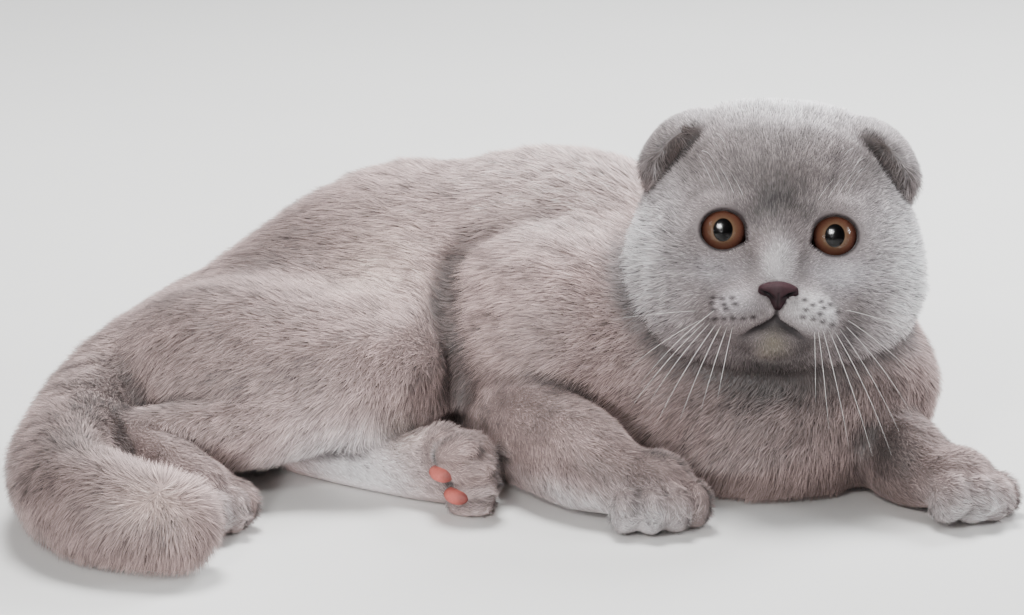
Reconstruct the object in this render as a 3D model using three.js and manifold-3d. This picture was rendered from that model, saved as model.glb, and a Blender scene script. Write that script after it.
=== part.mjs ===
// A lying Scottish Fold cat, life size, in millimetres with +Z up.
// The face looks towards -Y, the cat's left side is +X, and the floor is the plane z = 0.
// Each form is the outer surface of the plush coat, and touching forms keep a thin gap.
import * as THREE from "three";
import { mergeVertices } from "three/addons/utils/BufferGeometryUtils.js";
import Module from "manifold-3d";

const wasm = await Module();
wasm.setup();

// Driving sizes
const GAP = 0.3;
const HEAD_CENTRE = new THREE.Vector3(109.4, 0, 99);
const HEAD_PITCH = -15;
const HEAD_ROLL = 2.4;
const HEAD_YAW = -2.2;
const EYE_SPACING = 45.4;
const EYE_RADIUS = 11;
const FISSURE_WIDTH = 18.6;
const FISSURE_HEIGHT = 16.6;
const PAW_WIDTH = 43;
const HIND_PAW_WIDTH = 37;
const TAIL_RADIUS = 23;

const DEG = Math.PI / 180;
const at = (x, y, z) => new THREE.Vector3(x, y, z);
const lerp = THREE.MathUtils.lerp;

// A closed three.js geometry as a solid.
function solid(geometry) {
  const bare = geometry.clone();
  for (const name of Object.keys(bare.attributes)) {
    if (name !== "position") bare.deleteAttribute(name);
  }
  const merged = mergeVertices(bare, 1e-3);
  const mesh = new wasm.Mesh({
    numProp: 3,
    vertProperties: merged.attributes.position.array,
    triVerts: new Uint32Array(merged.index.array),
  });
  return new wasm.Manifold(mesh);
}

// The largest closed surface of a solid, without scraps or sealed hollows.
function largest(body) {
  return body.decompose().reduce((a, b) => (b.volume() > a.volume() ? b : a));
}

const join = (first, ...others) => others.reduce((a, b) => a.add(b), first);
const carve = (first, ...others) => others.reduce((a, b) => a.subtract(b), first);

// Distance to an ellipsoid, near enough for joining masses softly.
function mass(centre, radii, turn = [0, 0, 0]) {
  const turned = new THREE.Euler(turn[0] * DEG, turn[1] * DEG, turn[2] * DEG);
  const back = new THREE.Quaternion().setFromEuler(turned).invert();
  const middle = at(...centre);
  const q = new THREE.Vector3();
  return (p) => {
    q.copy(p).sub(middle).applyQuaternion(back);
    const scaled = Math.hypot(q.x / radii[0], q.y / radii[1], q.z / radii[2]);
    const slope = Math.hypot(q.x / radii[0] ** 2, q.y / radii[1] ** 2, q.z / radii[2] ** 2);
    return slope < 1e-9 ? -Math.min(...radii) : (scaled * (scaled - 1)) / slope;
  };
}

// Masses pressed together like clay, with creases filled over a width of blend.
function clay(blend, ...masses) {
  return (p) => {
    let depth = masses[0](p);
    for (const other of masses.slice(1)) {
      const next = other(p);
      const overlap = Math.max(blend - Math.abs(depth - next), 0) / blend;
      depth = Math.min(depth, next) - (overlap * overlap * blend) / 4;
    }
    return depth;
  };
}

// Closes rings of points with a pole at each end into one closed geometry.
function closed(rings, first, last) {
  const around = rings[0].length;
  const points = [first, ...rings.flat(), last];
  const faces = [];
  const index = (ring, k) => 1 + ring * around + (k % around);
  const end = points.length - 1;
  for (let k = 0; k < around; k++) {
    faces.push(0, index(0, k + 1), index(0, k));
    faces.push(end, index(rings.length - 1, k), index(rings.length - 1, k + 1));
    for (let ring = 0; ring < rings.length - 1; ring++) {
      const corners = [index(ring, k), index(ring, k + 1), index(ring + 1, k + 1), index(ring + 1, k)];
      faces.push(corners[0], corners[1], corners[2], corners[0], corners[2], corners[3]);
    }
  }
  const geometry = new THREE.BufferGeometry().setFromPoints(points);
  geometry.setIndex(faces);
  return geometry;
}

// Turns a closed geometry's faces outwards if they point in.
function outwards(geometry) {
  const made = solid(geometry);
  if (made.volume() > 0) return made;
  const index = geometry.index.array;
  for (let i = 0; i < index.length; i += 3) [index[i + 1], index[i + 2]] = [index[i + 2], index[i + 1]];
  return solid(geometry);
}

// Axes across a curve at each of its points: side, and up as near to the given one as it goes.
function axesAlong(curve, t, up) {
  const tangent = curve.getTangentAt(t);
  const side = new THREE.Vector3().crossVectors(tangent, up).normalize();
  return { tangent, side, rise: new THREE.Vector3().crossVectors(side, tangent) };
}

// A skin found by looking outwards from a path inside a clay form. The surface lies at distance grow from it.
function wrap(form, path, { around, along, caps, up = at(0, 0, 1), grow = 0 }) {
  const curve = new THREE.CatmullRomCurve3(path.map((p) => at(...p)));
  const reach = (from, way) => {
    let r = 0;
    const p = new THREE.Vector3();
    for (let step = 0; step < 400; step++) {
      const depth = form(p.copy(from).addScaledVector(way, r)) - grow;
      if (depth > -0.01) break;
      r += Math.max(0.02, -0.6 * depth);
    }
    return from.clone().addScaledVector(way, r);
  };
  const rings = [];
  const ringAt = (t, lean) => {
    const { tangent, side, rise } = axesAlong(curve, t, up);
    const from = curve.getPointAt(t);
    const ring = [];
    for (let k = 0; k < around; k++) {
      const a = (2 * Math.PI * k) / around;
      const way = side.clone().multiplyScalar(Math.cos(a)).addScaledVector(rise, Math.sin(a));
      way.multiplyScalar(Math.cos(lean)).addScaledVector(tangent, Math.sin(lean));
      ring.push(reach(from, way));
    }
    rings.push(ring);
  };
  const [back, front] = caps;
  for (let k = 1; k < back; k++) ringAt(0, (-Math.PI / 2) * (1 - k / back));
  for (let k = 0; k <= along; k++) ringAt(k / along, 0);
  for (let k = 1; k < front; k++) ringAt(1, (Math.PI / 2) * (k / front));
  const ends = [0, 1].map((t) => reach(curve.getPointAt(t), curve.getTangentAt(t).multiplyScalar(t ? 1 : -1)));
  return outwards(closed(rings, ends[0], ends[1]));
}

// A round limb along a path. Each station is [point, half width, half height].
function limb(stations, { around, along, caps = 4, up = at(0, 0, 1), grow = 0 }) {
  const curve = new THREE.CatmullRomCurve3(stations.map(([p]) => at(...p)));
  const radius = (t, which) => {
    const place = t * (stations.length - 1);
    const k = Math.min(Math.floor(place), stations.length - 2);
    const share = THREE.MathUtils.smoothstep(place - k, 0, 1);
    return lerp(stations[k][which], stations[k + 1][which], share) + grow;
  };
  const rings = [];
  const ringAt = (t, lean) => {
    const u = curve.getUtoTmapping(t);
    const { tangent, side, rise } = axesAlong(curve, t, up);
    const wide = radius(u, 1);
    const high = radius(u, 2);
    const from = curve.getPointAt(t).addScaledVector(tangent, Math.sin(lean) * Math.min(wide, high));
    const ring = [];
    for (let k = 0; k < around; k++) {
      const a = (2 * Math.PI * k) / around;
      const across = side.clone().multiplyScalar(Math.cos(a) * wide).addScaledVector(rise, Math.sin(a) * high);
      ring.push(from.clone().addScaledVector(across, Math.cos(lean)));
    }
    rings.push(ring);
  };
  for (let k = 1; k < caps; k++) ringAt(0, (-Math.PI / 2) * (1 - k / caps));
  for (let k = 0; k <= along; k++) ringAt(k / along, 0);
  for (let k = 1; k < caps; k++) ringAt(1, (Math.PI / 2) * (k / caps));
  const tip = (t) => {
    const reach = Math.min(radius(t, 1), radius(t, 2));
    return curve.getPointAt(t).addScaledVector(curve.getTangentAt(t), t ? reach : -reach);
  };
  return outwards(closed(rings, tip(0), tip(1)));
}

// A ball stretched to three radii, turned and placed.
function ball(centre, radii, { turn = [0, 0, 0], grow = 0, around = 12, rings = 8 } = {}) {
  const geometry = new THREE.SphereGeometry(1, around, rings).rotateX(Math.PI / 2);
  geometry.scale(...radii.map((r) => r + grow));
  geometry.applyMatrix4(
    new THREE.Matrix4().makeRotationFromEuler(new THREE.Euler(...turn.map((a) => a * DEG), "ZYX")),
  );
  return solid(geometry.translate(...centre));
}

// Places a solid made in a part's own frame.
const placed = (body, matrix) => body.transform(matrix.elements);

const FLOOR = solid(new THREE.BoxGeometry(900, 900, 200).translate(0, 0, -100));
const aboveFloor = (body) => body.subtract(FLOOR);

// Head, in its own frame: face towards -Y, centre of the skull at the origin
const headFrame = new THREE.Matrix4()
  .makeTranslation(HEAD_CENTRE)
  .multiply(new THREE.Matrix4().makeRotationZ(HEAD_YAW * DEG))
  .multiply(new THREE.Matrix4().makeRotationX(HEAD_PITCH * DEG))
  .multiply(new THREE.Matrix4().makeRotationY(HEAD_ROLL * DEG));

const EYE = { x: EYE_SPACING / 2, y: -32, z: 2.3 };
const NOSE = [0.6, -54.6, -22.5];
const both = (make) => [-1, 1].map(make);

const skull = clay(
  10,
  mass([0, 6, 12], [55, 48, 45]),
  ...both((s) => mass([s * 9, 5, 38.5], [19, 27, 18])),
  ...both((s) => mass([s * 23, 2, 38.5], [15, 23, 16])),
  ...both((s) => mass([s * 25, 0, -13], [39, 40, 40])),
  mass([0, -13, -31], [44, 31, 27]),
  mass([0, -14, -6], [44, 28, 34]),
  mass([0, -34, -24], [24, 17, 17]),
  mass([0, -38, -8], [8, 12, 18], [-12, 0, 0]),
  ...both((s) => mass([s * EYE.x, EYE.y + 1, EYE.z], [13.5, 12.2, 13])),
);
const headForm = clay(
  4,
  skull,
  ...both((s) => mass([s * 12.5, -42.5, -28.8], [14.6, 14, 9.6], [0, s * 24, s * 12])),
  mass([0, -38, -43], [13, 12, 7.4]),
);
const headBody = (grow = 0) =>
  wrap(headForm, [[0, 18, 2], [0, -8, -6], [0, -30, -16]], { around: 38, along: 4, caps: [5, 14], grow });

// Eyeball with the cornea standing a little proud of it
function eyeBody(side, grow = 0) {
  const form = clay(1.5, mass([0, 0, 0], Array(3).fill(EYE_RADIUS)), mass([0, -4.4, 0], Array(3).fill(7.6)));
  const body = wrap(form, [[0, 3, 0], [0, -3, 0]], { around: 18, along: 2, caps: [3, 5], grow });
  return body.translate(side * EYE.x, EYE.y, EYE.z);
}

// The opening between the lids, as a plug that reaches forward from the eyeball
function fissure(side) {
  const plug = new THREE.CylinderGeometry(0.96, 1.12, 24, 24);
  plug.scale(FISSURE_WIDTH / 2, 1, FISSURE_HEIGHT / 2);
  return solid(plug.translate(side * EYE.x, EYE.y - 12, EYE.z));
}

// Lids round the eyeball, with a rim along the opening
function lids(side) {
  const rim = new THREE.TorusGeometry(1, 0.17, 5, 24).rotateX(Math.PI / 2);
  rim.scale(FISSURE_WIDTH / 2 + 0.8, 11.5, FISSURE_HEIGHT / 2 + 0.8);
  return join(
    solid(rim.translate(side * EYE.x, EYE.y - 7, EYE.z)),
    ball([side * EYE.x, EYE.y + 0.5, EYE.z], [12.8, 12.3, 12.2], { around: 16, rings: 9 }),
  );
}

// Nose leather: a broad top that narrows to the philtrum
function noseBody(grow = 0) {
  const form = clay(
    3,
    mass([0, 0, 2], [6, 4.2, 2.9]),
    mass([0, -0.2, -2.6], [2.7, 3.6, 4.4]),
    ...both((s) => mass([s * 5.8, 1.4, 1.2], [3.2, 3, 1.8])),
  );
  return wrap(form, [[-2.5, 0.4, 0], [2.5, 0.4, 0]], { around: 12, along: 3, caps: [3, 3], grow }).translate(...NOSE);
}
const nostrils = () =>
  both((s) =>
    ball([NOSE[0] + s * 4.6, NOSE[1] - 2.6, NOSE[2] - 0.6], [2.6, 2.6, 0.8], { turn: [0, s * 26, 0], around: 8, rings: 5 }),
  );

// Line of the mouth: down the philtrum, then out below each whisker pad
function mouthLine() {
  const groove = { around: 5, along: 9, caps: 2, up: at(0, 1, 0) };
  const philtrum = limb([[[0, -56, -27], 0.8, 2], [[0, -53.5, -33.5], 1, 2.4]], { ...groove, along: 2 });
  const lines = both((s) =>
    limb(
      [
        [[0, -53, -33.6], 1.2, 3.2],
        [[s * 7, -52, -37.4], 1.4, 3.8],
        [[s * 15, -47.5, -39], 1.4, 3.8],
        [[s * 23, -41.5, -36], 1.1, 2.4],
      ],
      groove,
    ),
  );
  return [philtrum, ...lines];
}

// Lower lip, a soft ridge under the line of the mouth
const lowerLip = () =>
  limb([[[-9, -46.4, -41], 1.2, 1.5], [[0, -49, -38.6], 1.4, 2], [[9, -46.4, -41], 1.2, 1.5]], {
    around: 6,
    along: 8,
    caps: 2,
  });

// Folded ear: a small hood whose open side faces forward and down over the cup
const earTurn = (side) => [0, side * 38, 0];
const earHood = (side, grow = 0) =>
  ball([side * 38, 0, 35], [23, 21, 16.5], { turn: earTurn(side), grow, around: 18, rings: 12 });
function earBody(side) {
  const hood = earHood(side);
  const cup = ball([side * 36, -11, 30.5], [15.5, 12, 8.6], { turn: earTurn(side), around: 18, rings: 10 });
  const front = new THREE.BoxGeometry(90, 40, 90).translate(0, -20, 0);
  front.rotateX(26 * DEG).rotateZ(-side * 20 * DEG).translate(side * 37, -11, 31.5);
  return carve(hood, cup, solid(front));
}

// Trunk: breast, neck, shoulders and ribs, then loins, rump and the right thigh
const foreForm = clay(
  20,
  mass([112, 8, 42], [66, 46, 36]),
  mass([104, -14, 18], [50, 46, 28]),
  mass([132, -6, 30], [44, 38, 28]),
  mass([106, 32, 72], [60, 44, 38]),
  mass([24, 18, 50], [50, 46, 49]),
  mass([18, 80, 64], [76, 54, 57]),
);
const hindForm = clay(
  22,
  mass([-40, 90, 62], [62, 50, 51]),
  mass([-34, 44, 42], [50, 44, 44]),
  mass([-84, 84, 49], [46, 46, 40]),
  mass([-112, 62, 38], [54, 42, 33]),
  mass([-148, 32, 33], [32, 32, 25]),
  mass([-110, 8, 43], [56, 42, 36]),
  mass([-72, -20, 42], [34, 28, 27], [0, 0, -35]),
  mass([-52, -4, 44], [29, 27, 28]),
  mass([-108, -15, 38], [46, 30, 20]),
);
const trunkForm = clay(8, foreForm, hindForm);
const TRUNK_PATH = [[116, 2, 50], [94, 16, 52], [56, 42, 54], [12, 62, 56], [-42, 68, 52], [-96, 50, 44], [-146, 32, 36]];
const trunk = wrap(trunkForm, TRUNK_PATH, { around: 26, along: 20, caps: [5, 5] });

// A limb that keeps its stations and can be grown for carving
const leg = (stations, shape) => (grow = 0) => limb(stations, { ...shape, grow });

const shankRight = leg([[[-70, -30, 36], 17, 17], [[-105, -40, 29], 16, 17], [[-148, -46, 25], 15, 17]], {
  around: 14,
  along: 5,
});
const footRight = leg([[[-154, -50, 23], 15, 16], [[-140, -66, 20], 14, 15], [[-126, -82, 16], 15, 14]], {
  around: 14,
  along: 5,
});

// Left hind foot: it lies on its side under the belly, with its sole to the viewer
const footLeft = leg(
  [
    [[-88, -4, 12], 14, 13],
    [[-60, -26, 13], 13, 14],
    [[-34, -42, 14.5], 14, 15.5],
    [[-18, -52, 17], 13, 17],
  ],
  { around: 14, along: 7 },
);

const forearmRight = leg(
  [
    [[-4, 22, 27], 24, 27],
    [[0, -2, 24], 23.5, 25],
    [[12, -29, 23], 23, 24],
    [[27, -51, 21], 21.5, 22],
    [[39, -66, 17.4], 19, 18],
    [[46, -72, 16], 16, 14],
  ],
  { around: 14, along: 8 },
);
const forearmLeft = leg(
  [
    [[148, 12, 21], 22, 22],
    [[152, -18, 19], 21, 20],
    [[160, -42, 18], 19, 19],
    [[168, -58, 15.4], 17, 16],
    [[173, -62, 15], 15, 13],
  ],
  { around: 14, along: 8 },
);

// A paw: four toes in front of a padded palm, in its own frame with the toes towards -Y
function pawBody(width, { length = 1, grow = 0, spread = 1 } = {}) {
  const half = width / 2;
  const palm = ball([0, 4, 15], [half * 0.92, 21 * length, 13.8], { grow, around: 12, rings: 8 });
  const toes = [-1, -0.36, 0.36, 1].map((across) => {
    const outer = Math.abs(across);
    const centre = [across * half * 0.66, -lerp(17, 9, outer) * length, 10.8 - outer * 0.8];
    return ball(centre, [half * 0.36, 12.5 * length, 10.8], {
      turn: [-12, 0, across * 14 * spread],
      grow,
      around: 8,
      rings: 6,
    });
  });
  return join(palm, ...toes);
}
const pawFrame = (centre, heading, tilt = 0) =>
  new THREE.Matrix4()
    .makeTranslation(at(...centre))
    .multiply(new THREE.Matrix4().makeRotationZ(heading * DEG))
    .multiply(new THREE.Matrix4().makeRotationY(tilt * DEG));
const PAWS = {
  forepaw_right: [pawFrame([56, -74, 0], 16), PAW_WIDTH, {}],
  forepaw_left: [pawFrame([178, -64, 0], 42, 10), PAW_WIDTH + 1, {}],
  hindpaw_right: [pawFrame([-126, -80, 0], 42), HIND_PAW_WIDTH, {}],
  hindpaw_left: [pawFrame([-22, -52, 18], 40, 72), HIND_PAW_WIDTH, {}],
};
const SOLE = -15;
const paw = (name, grow = 0) => {
  const [frame, width, shape] = PAWS[name];
  const lift = name === "hindpaw_left" ? SOLE : 0;
  return placed(pawBody(width, { ...shape, grow }).translate(0, 0, lift), frame);
};

// Toe pads that show on the left hind paw: place across the sole and along it
const SHOWN_PADS = { toe_pad_upper: [-4.6, -6.6], toe_pad_lower: [4.4, -12.6] };
const PAD_RADII = [3.1, 6.8, 3.4];
const PAD_PROUD = 1.4;
function toePad([across, along], grow = 0) {
  const centre = [across, along, SOLE + PAD_PROUD];
  return placed(ball(centre, PAD_RADII, { grow, around: 10, rings: 6 }), PAWS.hindpaw_left[0]);
}

// Tail: from the rump round the right hind foot, laid along the floor
const TAIL = [
  [-150, 34, 36],
  [-165, 12, 31],
  [-175, -18, 27],
  [-180, -52, 24],
  [-180, -84, 23],
  [-170, -114, 22.5],
  [-150, -130, 22],
  [-131, -137, 20.5],
];
const TAIL_TAPER = [1.22, 1.14, 1.06, 1.02, 1.02, 1, 0.98, 0.88];
const tail = (grow = 0) =>
  limb(
    TAIL.map((p, k) => [p, TAIL_RADIUS * TAIL_TAPER[k], TAIL_RADIUS * TAIL_TAPER[k]]),
    { around: 16, along: 18, caps: 4, grow },
  );

const material = (color, roughness = 0.95) =>
  new THREE.MeshStandardMaterial({ color: new THREE.Color(color), roughness, metalness: 0 });
const COAT = material("#9a8a86");
const COPPER = material("#8a4a22", 0.1);
const PLUM = material("#4a3238", 0.5);
const PINK = material("#b8706c", 0.6);

const cat = new THREE.Group();
function add(name, body, look = COAT) {
  const mesh = largest(body).getMesh();
  const geometry = new THREE.BufferGeometry();
  geometry.setAttribute("position", new THREE.BufferAttribute(mesh.vertProperties, 3));
  geometry.setIndex(new THREE.BufferAttribute(mesh.triVerts, 1));
  geometry.computeVertexNormals();
  const node = new THREE.Mesh(geometry, look);
  node.name = name;
  cat.add(node);
}

// Parts a body with a flat cut, leaving the gap open. The first part lies on the side the normal points to.
function part(body, point, normal) {
  const n = at(...normal).normalize();
  const offset = n.dot(at(...point));
  const front = body.trimByPlane(n.toArray(), offset + GAP / 2);
  const back = body.trimByPlane(n.clone().negate().toArray(), -offset + GAP / 2);
  return [front, back];
}

const inHead = (body) => placed(body, headFrame);

// Head with its sockets, lids, mouth and the bed of the nose
const head = carve(
  join(headBody(), ...both(lids), lowerLip()),
  ...both((s) => eyeBody(s, GAP)),
  ...both(fissure),
  noseBody(GAP),
  ...mouthLine(),
);
add("head", inHead(head));
both((s) => {
  const which = s < 0 ? "right" : "left";
  add("eye_" + which, inHead(eyeBody(s)), COPPER);
  add("ear_" + which, inHead(carve(earBody(s), headBody(GAP))));
});
add("nose", inHead(carve(noseBody(), ...nostrils())), PLUM);

// Forms in the order they lie over each other: each is carved by those before it, grown by the gap
const taken = [inHead(headBody(GAP)), ...both((s) => inHead(earHood(s, GAP)))];
function lay(form) {
  const free = aboveFloor(carve(form(), ...taken));
  taken.push(form(GAP));
  return free;
}

for (const [name, place] of Object.entries(SHOWN_PADS)) add(name, lay((grow) => toePad(place, grow)), PINK);
for (const name of Object.keys(PAWS)) add(name, lay((grow) => paw(name, grow)));
const [tailFront, tailBase] = part(lay(tail), [-180, -40, 24], [0, -1, 0]);
const [tailMiddle, tailTip] = part(tailFront, [-160, -110, 22], [-1, 0.2, 0]);
add("tail_base", tailBase);
add("tail_middle", tailMiddle);
add("tail_tip", tailTip);
add("foreleg_right", lay(forearmRight));
add("foreleg_left", lay(forearmLeft));
add("hindfoot_right", lay(footRight));
add("shank_right", lay(shankRight));
add("hindfoot_left", lay(footLeft));

// Trunk, carved by all that meets it and parted into lengths
const body = lay(() => trunk);
const NECK_CELL = [[108, 12, 100], [84, 70, 46]];
const THIGH_CELL = [[-102, -6, 40], [72, 58, 48]];
const cell = ([centre, radii], grow = 0) => ball(centre, radii, { grow, around: 16, rings: 8 });
const [fore, hind] = part(carve(body, cell(THIGH_CELL, GAP / 2)), [-24, 10, 50], [1, -0.1, 0.18]);
const [belly, rump] = part(hind, [-92, 60, 45], [1, 0.2, 0]);
add("thigh_right", body.intersect(cell(THIGH_CELL, -GAP / 2)));
add("neck", fore.intersect(cell(NECK_CELL, -GAP / 2)));
add("chest", carve(fore, cell(NECK_CELL, GAP / 2)));
add("belly", belly);
add("rump", rump);

// The origin lies on the floor under the middle of the whole
const bounds = new THREE.Box3().setFromObject(cat);
const middle = bounds.getCenter(new THREE.Vector3());
cat.position.set(-middle.x, -middle.y, -bounds.min.z);
cat.updateMatrixWorld(true);

export default cat;
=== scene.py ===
"""A grey fold-eared cat lying on a pale floor: skin, coat, eyes, nose, pads and whiskers."""

import itertools
import math

import bmesh
import bpy
import numpy as np
from mathutils import Matrix, Vector
from mathutils.bvhtree import BVHTree


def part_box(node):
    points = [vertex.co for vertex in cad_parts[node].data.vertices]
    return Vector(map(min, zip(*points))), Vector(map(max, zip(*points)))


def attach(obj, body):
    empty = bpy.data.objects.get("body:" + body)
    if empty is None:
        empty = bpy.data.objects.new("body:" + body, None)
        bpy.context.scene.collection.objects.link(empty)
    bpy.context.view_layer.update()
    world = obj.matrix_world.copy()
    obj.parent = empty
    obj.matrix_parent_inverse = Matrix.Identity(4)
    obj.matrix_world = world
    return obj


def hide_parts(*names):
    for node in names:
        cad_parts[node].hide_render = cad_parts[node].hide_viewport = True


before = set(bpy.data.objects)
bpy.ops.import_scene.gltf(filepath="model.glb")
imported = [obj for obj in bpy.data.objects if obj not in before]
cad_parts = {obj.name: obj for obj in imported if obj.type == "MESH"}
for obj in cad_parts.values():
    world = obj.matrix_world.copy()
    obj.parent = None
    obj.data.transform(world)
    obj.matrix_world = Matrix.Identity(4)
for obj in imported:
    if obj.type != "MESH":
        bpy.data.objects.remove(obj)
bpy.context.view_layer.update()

# Lengths are millimetres in the part's own frame until a mesh is made, which is in metres in the row frame.
MM = 0.001
HEAD_CENTRE = np.array((109.4, 0.0, 99.0))
HEAD_YAW, HEAD_PITCH, HEAD_ROLL = -2.2, -15.0, 2.4
EYES_MIDDLE = np.array((0.0237, -32.4652, 2.1762))
EYE_PLACE = np.array((22.7, -32.0, 2.3))
EYE_RADIUS = 11.0
BALL_REACH, BALL_BACK = 17, 2
SIDES = {"right": -1, "left": 1}
FISSURE = (9.3, 8.3)
NOSE_PLACE = np.array((0.6, -54.6, -22.5))

# The solids grow by the overlap, so that the gaps between them close
SKIN_VOXEL, OVERLAP = 1.3, 0.4
FACE_REACH = 44.0
COAT_TRIANGLES = 1_400_000
PIECE_TRIANGLES = 190_000
PATCH = 0.003

rng = np.random.default_rng(20)


def turned(axis, degrees):
    return np.array(Matrix.Rotation(math.radians(degrees), 3, axis))


HEAD = turned("Z", HEAD_YAW) @ turned("X", HEAD_PITCH) @ turned("Y", HEAD_ROLL)


def from_head(points):
    return HEAD_CENTRE + np.asarray(points, float) @ HEAD.T


def in_head(points):
    return (np.asarray(points, float) - HEAD_CENTRE) @ HEAD


def node_middle(name):
    low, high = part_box(name)
    return np.array((low + high) / 2) / MM


SHIFT = (node_middle("eye_right") + node_middle("eye_left")) / 2 - from_head(EYES_MIDDLE)


def to_row(points):
    return (np.asarray(points, float) + SHIFT) * MM


def unit(vectors):
    return vectors / np.maximum(np.linalg.norm(vectors, axis=-1, keepdims=True), 1e-9)


def ramp(value, low, high):
    """0 below low, 1 above high, smooth between."""
    t = np.clip((value - low) / (high - low), 0, 1)
    return t * t * (3 - 2 * t)


def linear(red, green, blue):
    """An 8-bit screen colour as linear light."""
    c = np.array((red, green, blue)) / 255
    return np.where(c <= 0.04045, c / 12.92, ((c + 0.055) / 1.055) ** 2.4)


def blended(first, second, share):
    """first where share is 0, second where it is 1."""
    if np.ndim(first) > np.ndim(share):
        share = np.asarray(share)[..., None]
    return first * (1 - share) + second * share


def bell(away, width):
    """1 at no distance, fading over the width."""
    return np.exp(-((away / width) ** 2))


def blob(points, place, reach):
    """1 at a place, fading over a reach that may differ along the axes."""
    return np.exp(-np.sum(((points - place) / reach) ** 2, axis=1))


def noise(points, size, seed):
    """Smooth noise from -1 to 1 with features about size across."""
    cells = np.asarray(points) / size
    corner = np.floor(cells).astype(np.int64)
    part = cells - corner
    part = part * part * (3 - 2 * part)
    total = np.zeros(len(cells))
    for step in itertools.product((0, 1), repeat=3):
        at = corner + step
        mixed = (at[:, 0] * 73856093) ^ (at[:, 1] * 19349663) ^ (at[:, 2] * 83492791) ^ (seed * 2654435761)
        mixed = ((mixed & 0x7FFFFFFF) * 1103515245 + 12345) & 0x7FFFFFFF
        share = np.prod(np.where(step, part, 1 - part), axis=1)
        total += (mixed / 0x3FFFFFFF - 1) * share
    return total


def noise_vector(points, size, seed):
    return np.stack([noise(points, size, seed + k) for k in range(3)], axis=1)


def add_object(name, data):
    """Links an object with this data to the scene."""
    made = bpy.data.objects.new(name, data)
    bpy.context.scene.collection.objects.link(made)
    return made


def discard(obj):
    """Removes an object and its mesh."""
    data = obj.data
    bpy.data.objects.remove(obj)
    bpy.data.meshes.remove(data)


# Camera: a long lens from the front, fifteen degrees up, at the photograph's framing
IMAGE_WIDTH = 1024
CAMERA_PLACE = np.array((-0.155, -1649.325, 511.932))
CAMERA_ELEVATION = 15.0
FOCAL_PIXELS = 4096.0
SENSOR_MM = 36.0

camera_data = bpy.data.cameras.new("camera")
camera_data.sensor_width = SENSOR_MM
camera_data.lens = FOCAL_PIXELS / IMAGE_WIDTH * SENSOR_MM
camera_data.clip_end = 50
camera = add_object("camera", camera_data)
camera.location = to_row(CAMERA_PLACE)
camera.rotation_euler = (math.radians(90 - CAMERA_ELEVATION), 0, 0)
bpy.context.scene.camera = camera


# Coat of each part: comb direction, hair length, half width, stand in degrees, depth, density
COAT = {
    "head": ((0, 0, 0), 5.0, 0.24, 26, 2.0, 2.2),
    "ear_right": ((0, 0, 0), 3.2, 0.2, 22, 0.9, 3.2),
    "ear_left": ((0, 0, 0), 3.2, 0.2, 22, 0.9, 3.2),
    "neck": ((-0.5, 0.0, -0.8), 7.0, 0.25, 28, 2.8, 2.0),
    "chest": ((-0.25, 0.0, -0.95), 7.0, 0.25, 27, 2.8, 2.0),
    "belly": ((-0.6, 0.0, -0.8), 7.5, 0.26, 29, 3.0, 1.9),
    "rump": ((-0.75, -0.1, -0.65), 7.0, 0.25, 27, 2.8, 1.9),
    "thigh_right": ((-0.6, 0.0, -0.8), 7.0, 0.25, 27, 2.8, 2.0),
    "shank_right": ((-0.7, -0.1, -0.7), 6.5, 0.25, 27, 2.6, 2.1),
    "hindfoot_right": ((0.6, -0.75, -0.2), 5.0, 0.22, 26, 1.9, 2.4),
    "hindpaw_right": ((0.67, -0.74, -0.1), 4.6, 0.21, 30, 1.6, 2.9),
    "hindfoot_left": ((0.82, -0.56, 0.0), 5.0, 0.22, 26, 1.9, 2.4),
    "hindpaw_left": ((0.64, -0.77, 0.0), 4.6, 0.21, 30, 1.6, 2.9),
    "foreleg_right": ((0.5, -0.7, -0.45), 5.6, 0.22, 26, 2.1, 2.4),
    "forepaw_right": ((0.28, -0.96, -0.1), 4.6, 0.21, 30, 1.6, 2.9),
    "foreleg_left": ((0.35, -0.9, -0.3), 5.4, 0.22, 26, 2.0, 2.4),
    "forepaw_left": ((0.67, -0.74, -0.1), 4.6, 0.21, 30, 1.6, 2.9),
    "tail_base": ((0, 0, 0), 7.2, 0.25, 32, 3.4, 2.0),
    "tail_middle": ((0, 0, 0), 7.2, 0.25, 38, 3.8, 2.0),
    "tail_tip": ((0, 0, 0), 7.0, 0.25, 42, 3.8, 2.0),
}
FLESH = list(COAT)
# Parts that show through the skin, and how far it lies under each
BARE = {"eye_right": 0.0, "eye_left": 0.0, "nose": 3.2, "toe_pad_upper": 1.6, "toe_pad_lower": 1.6}
TAIL_START = [(-150, 34, 36), (-165, 12, 31), (-175, -18, 27), (-180, -52, 24)]
TAIL_END = [(-180, -84, 23), (-170, -114, 22.5), (-150, -130, 22), (-131, -137, 20.5)]
TAIL_PATH = np.array(TAIL_START + TAIL_END, float)
# Folds of the body: a line in the part's frame, its depth and its width
FLANK = [
    (-17, -44, 30),
    (-22, -12, 39),
    (-25, -9, 59),
    (-27, 7, 71),
    (-25, 27, 83),
    (-18, 37, 91),
    (-3, 37, 98),
    (20, 38, 103),
]
LOIN = [(-28, 35, 86), (-24, 43, 95), (-14, 48, 102), (3, 48, 108)]
BREAST = [(77, -44, 31), (101, -54, 29), (129, -53, 29), (146, -45, 32)]
DEEPEST_FOLD = 3.4
FOLDS = [(FLANK, DEEPEST_FOLD, 5.0), (LOIN, 0.5, 5.0), (BREAST, 1.0, 4.0)]
# Where the hair of the tail's tip parts
TAIL_WHORL = np.array((-132.0, -150.0, 34.0))
WHORL_REACH, WHORL_STRENGTH = 42.0, 0.62


def own_points(mesh):
    """The points of a bmesh in millimetres, in the part's frame."""
    return np.array([v.co for v in mesh.verts]) / MM - SHIFT


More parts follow.
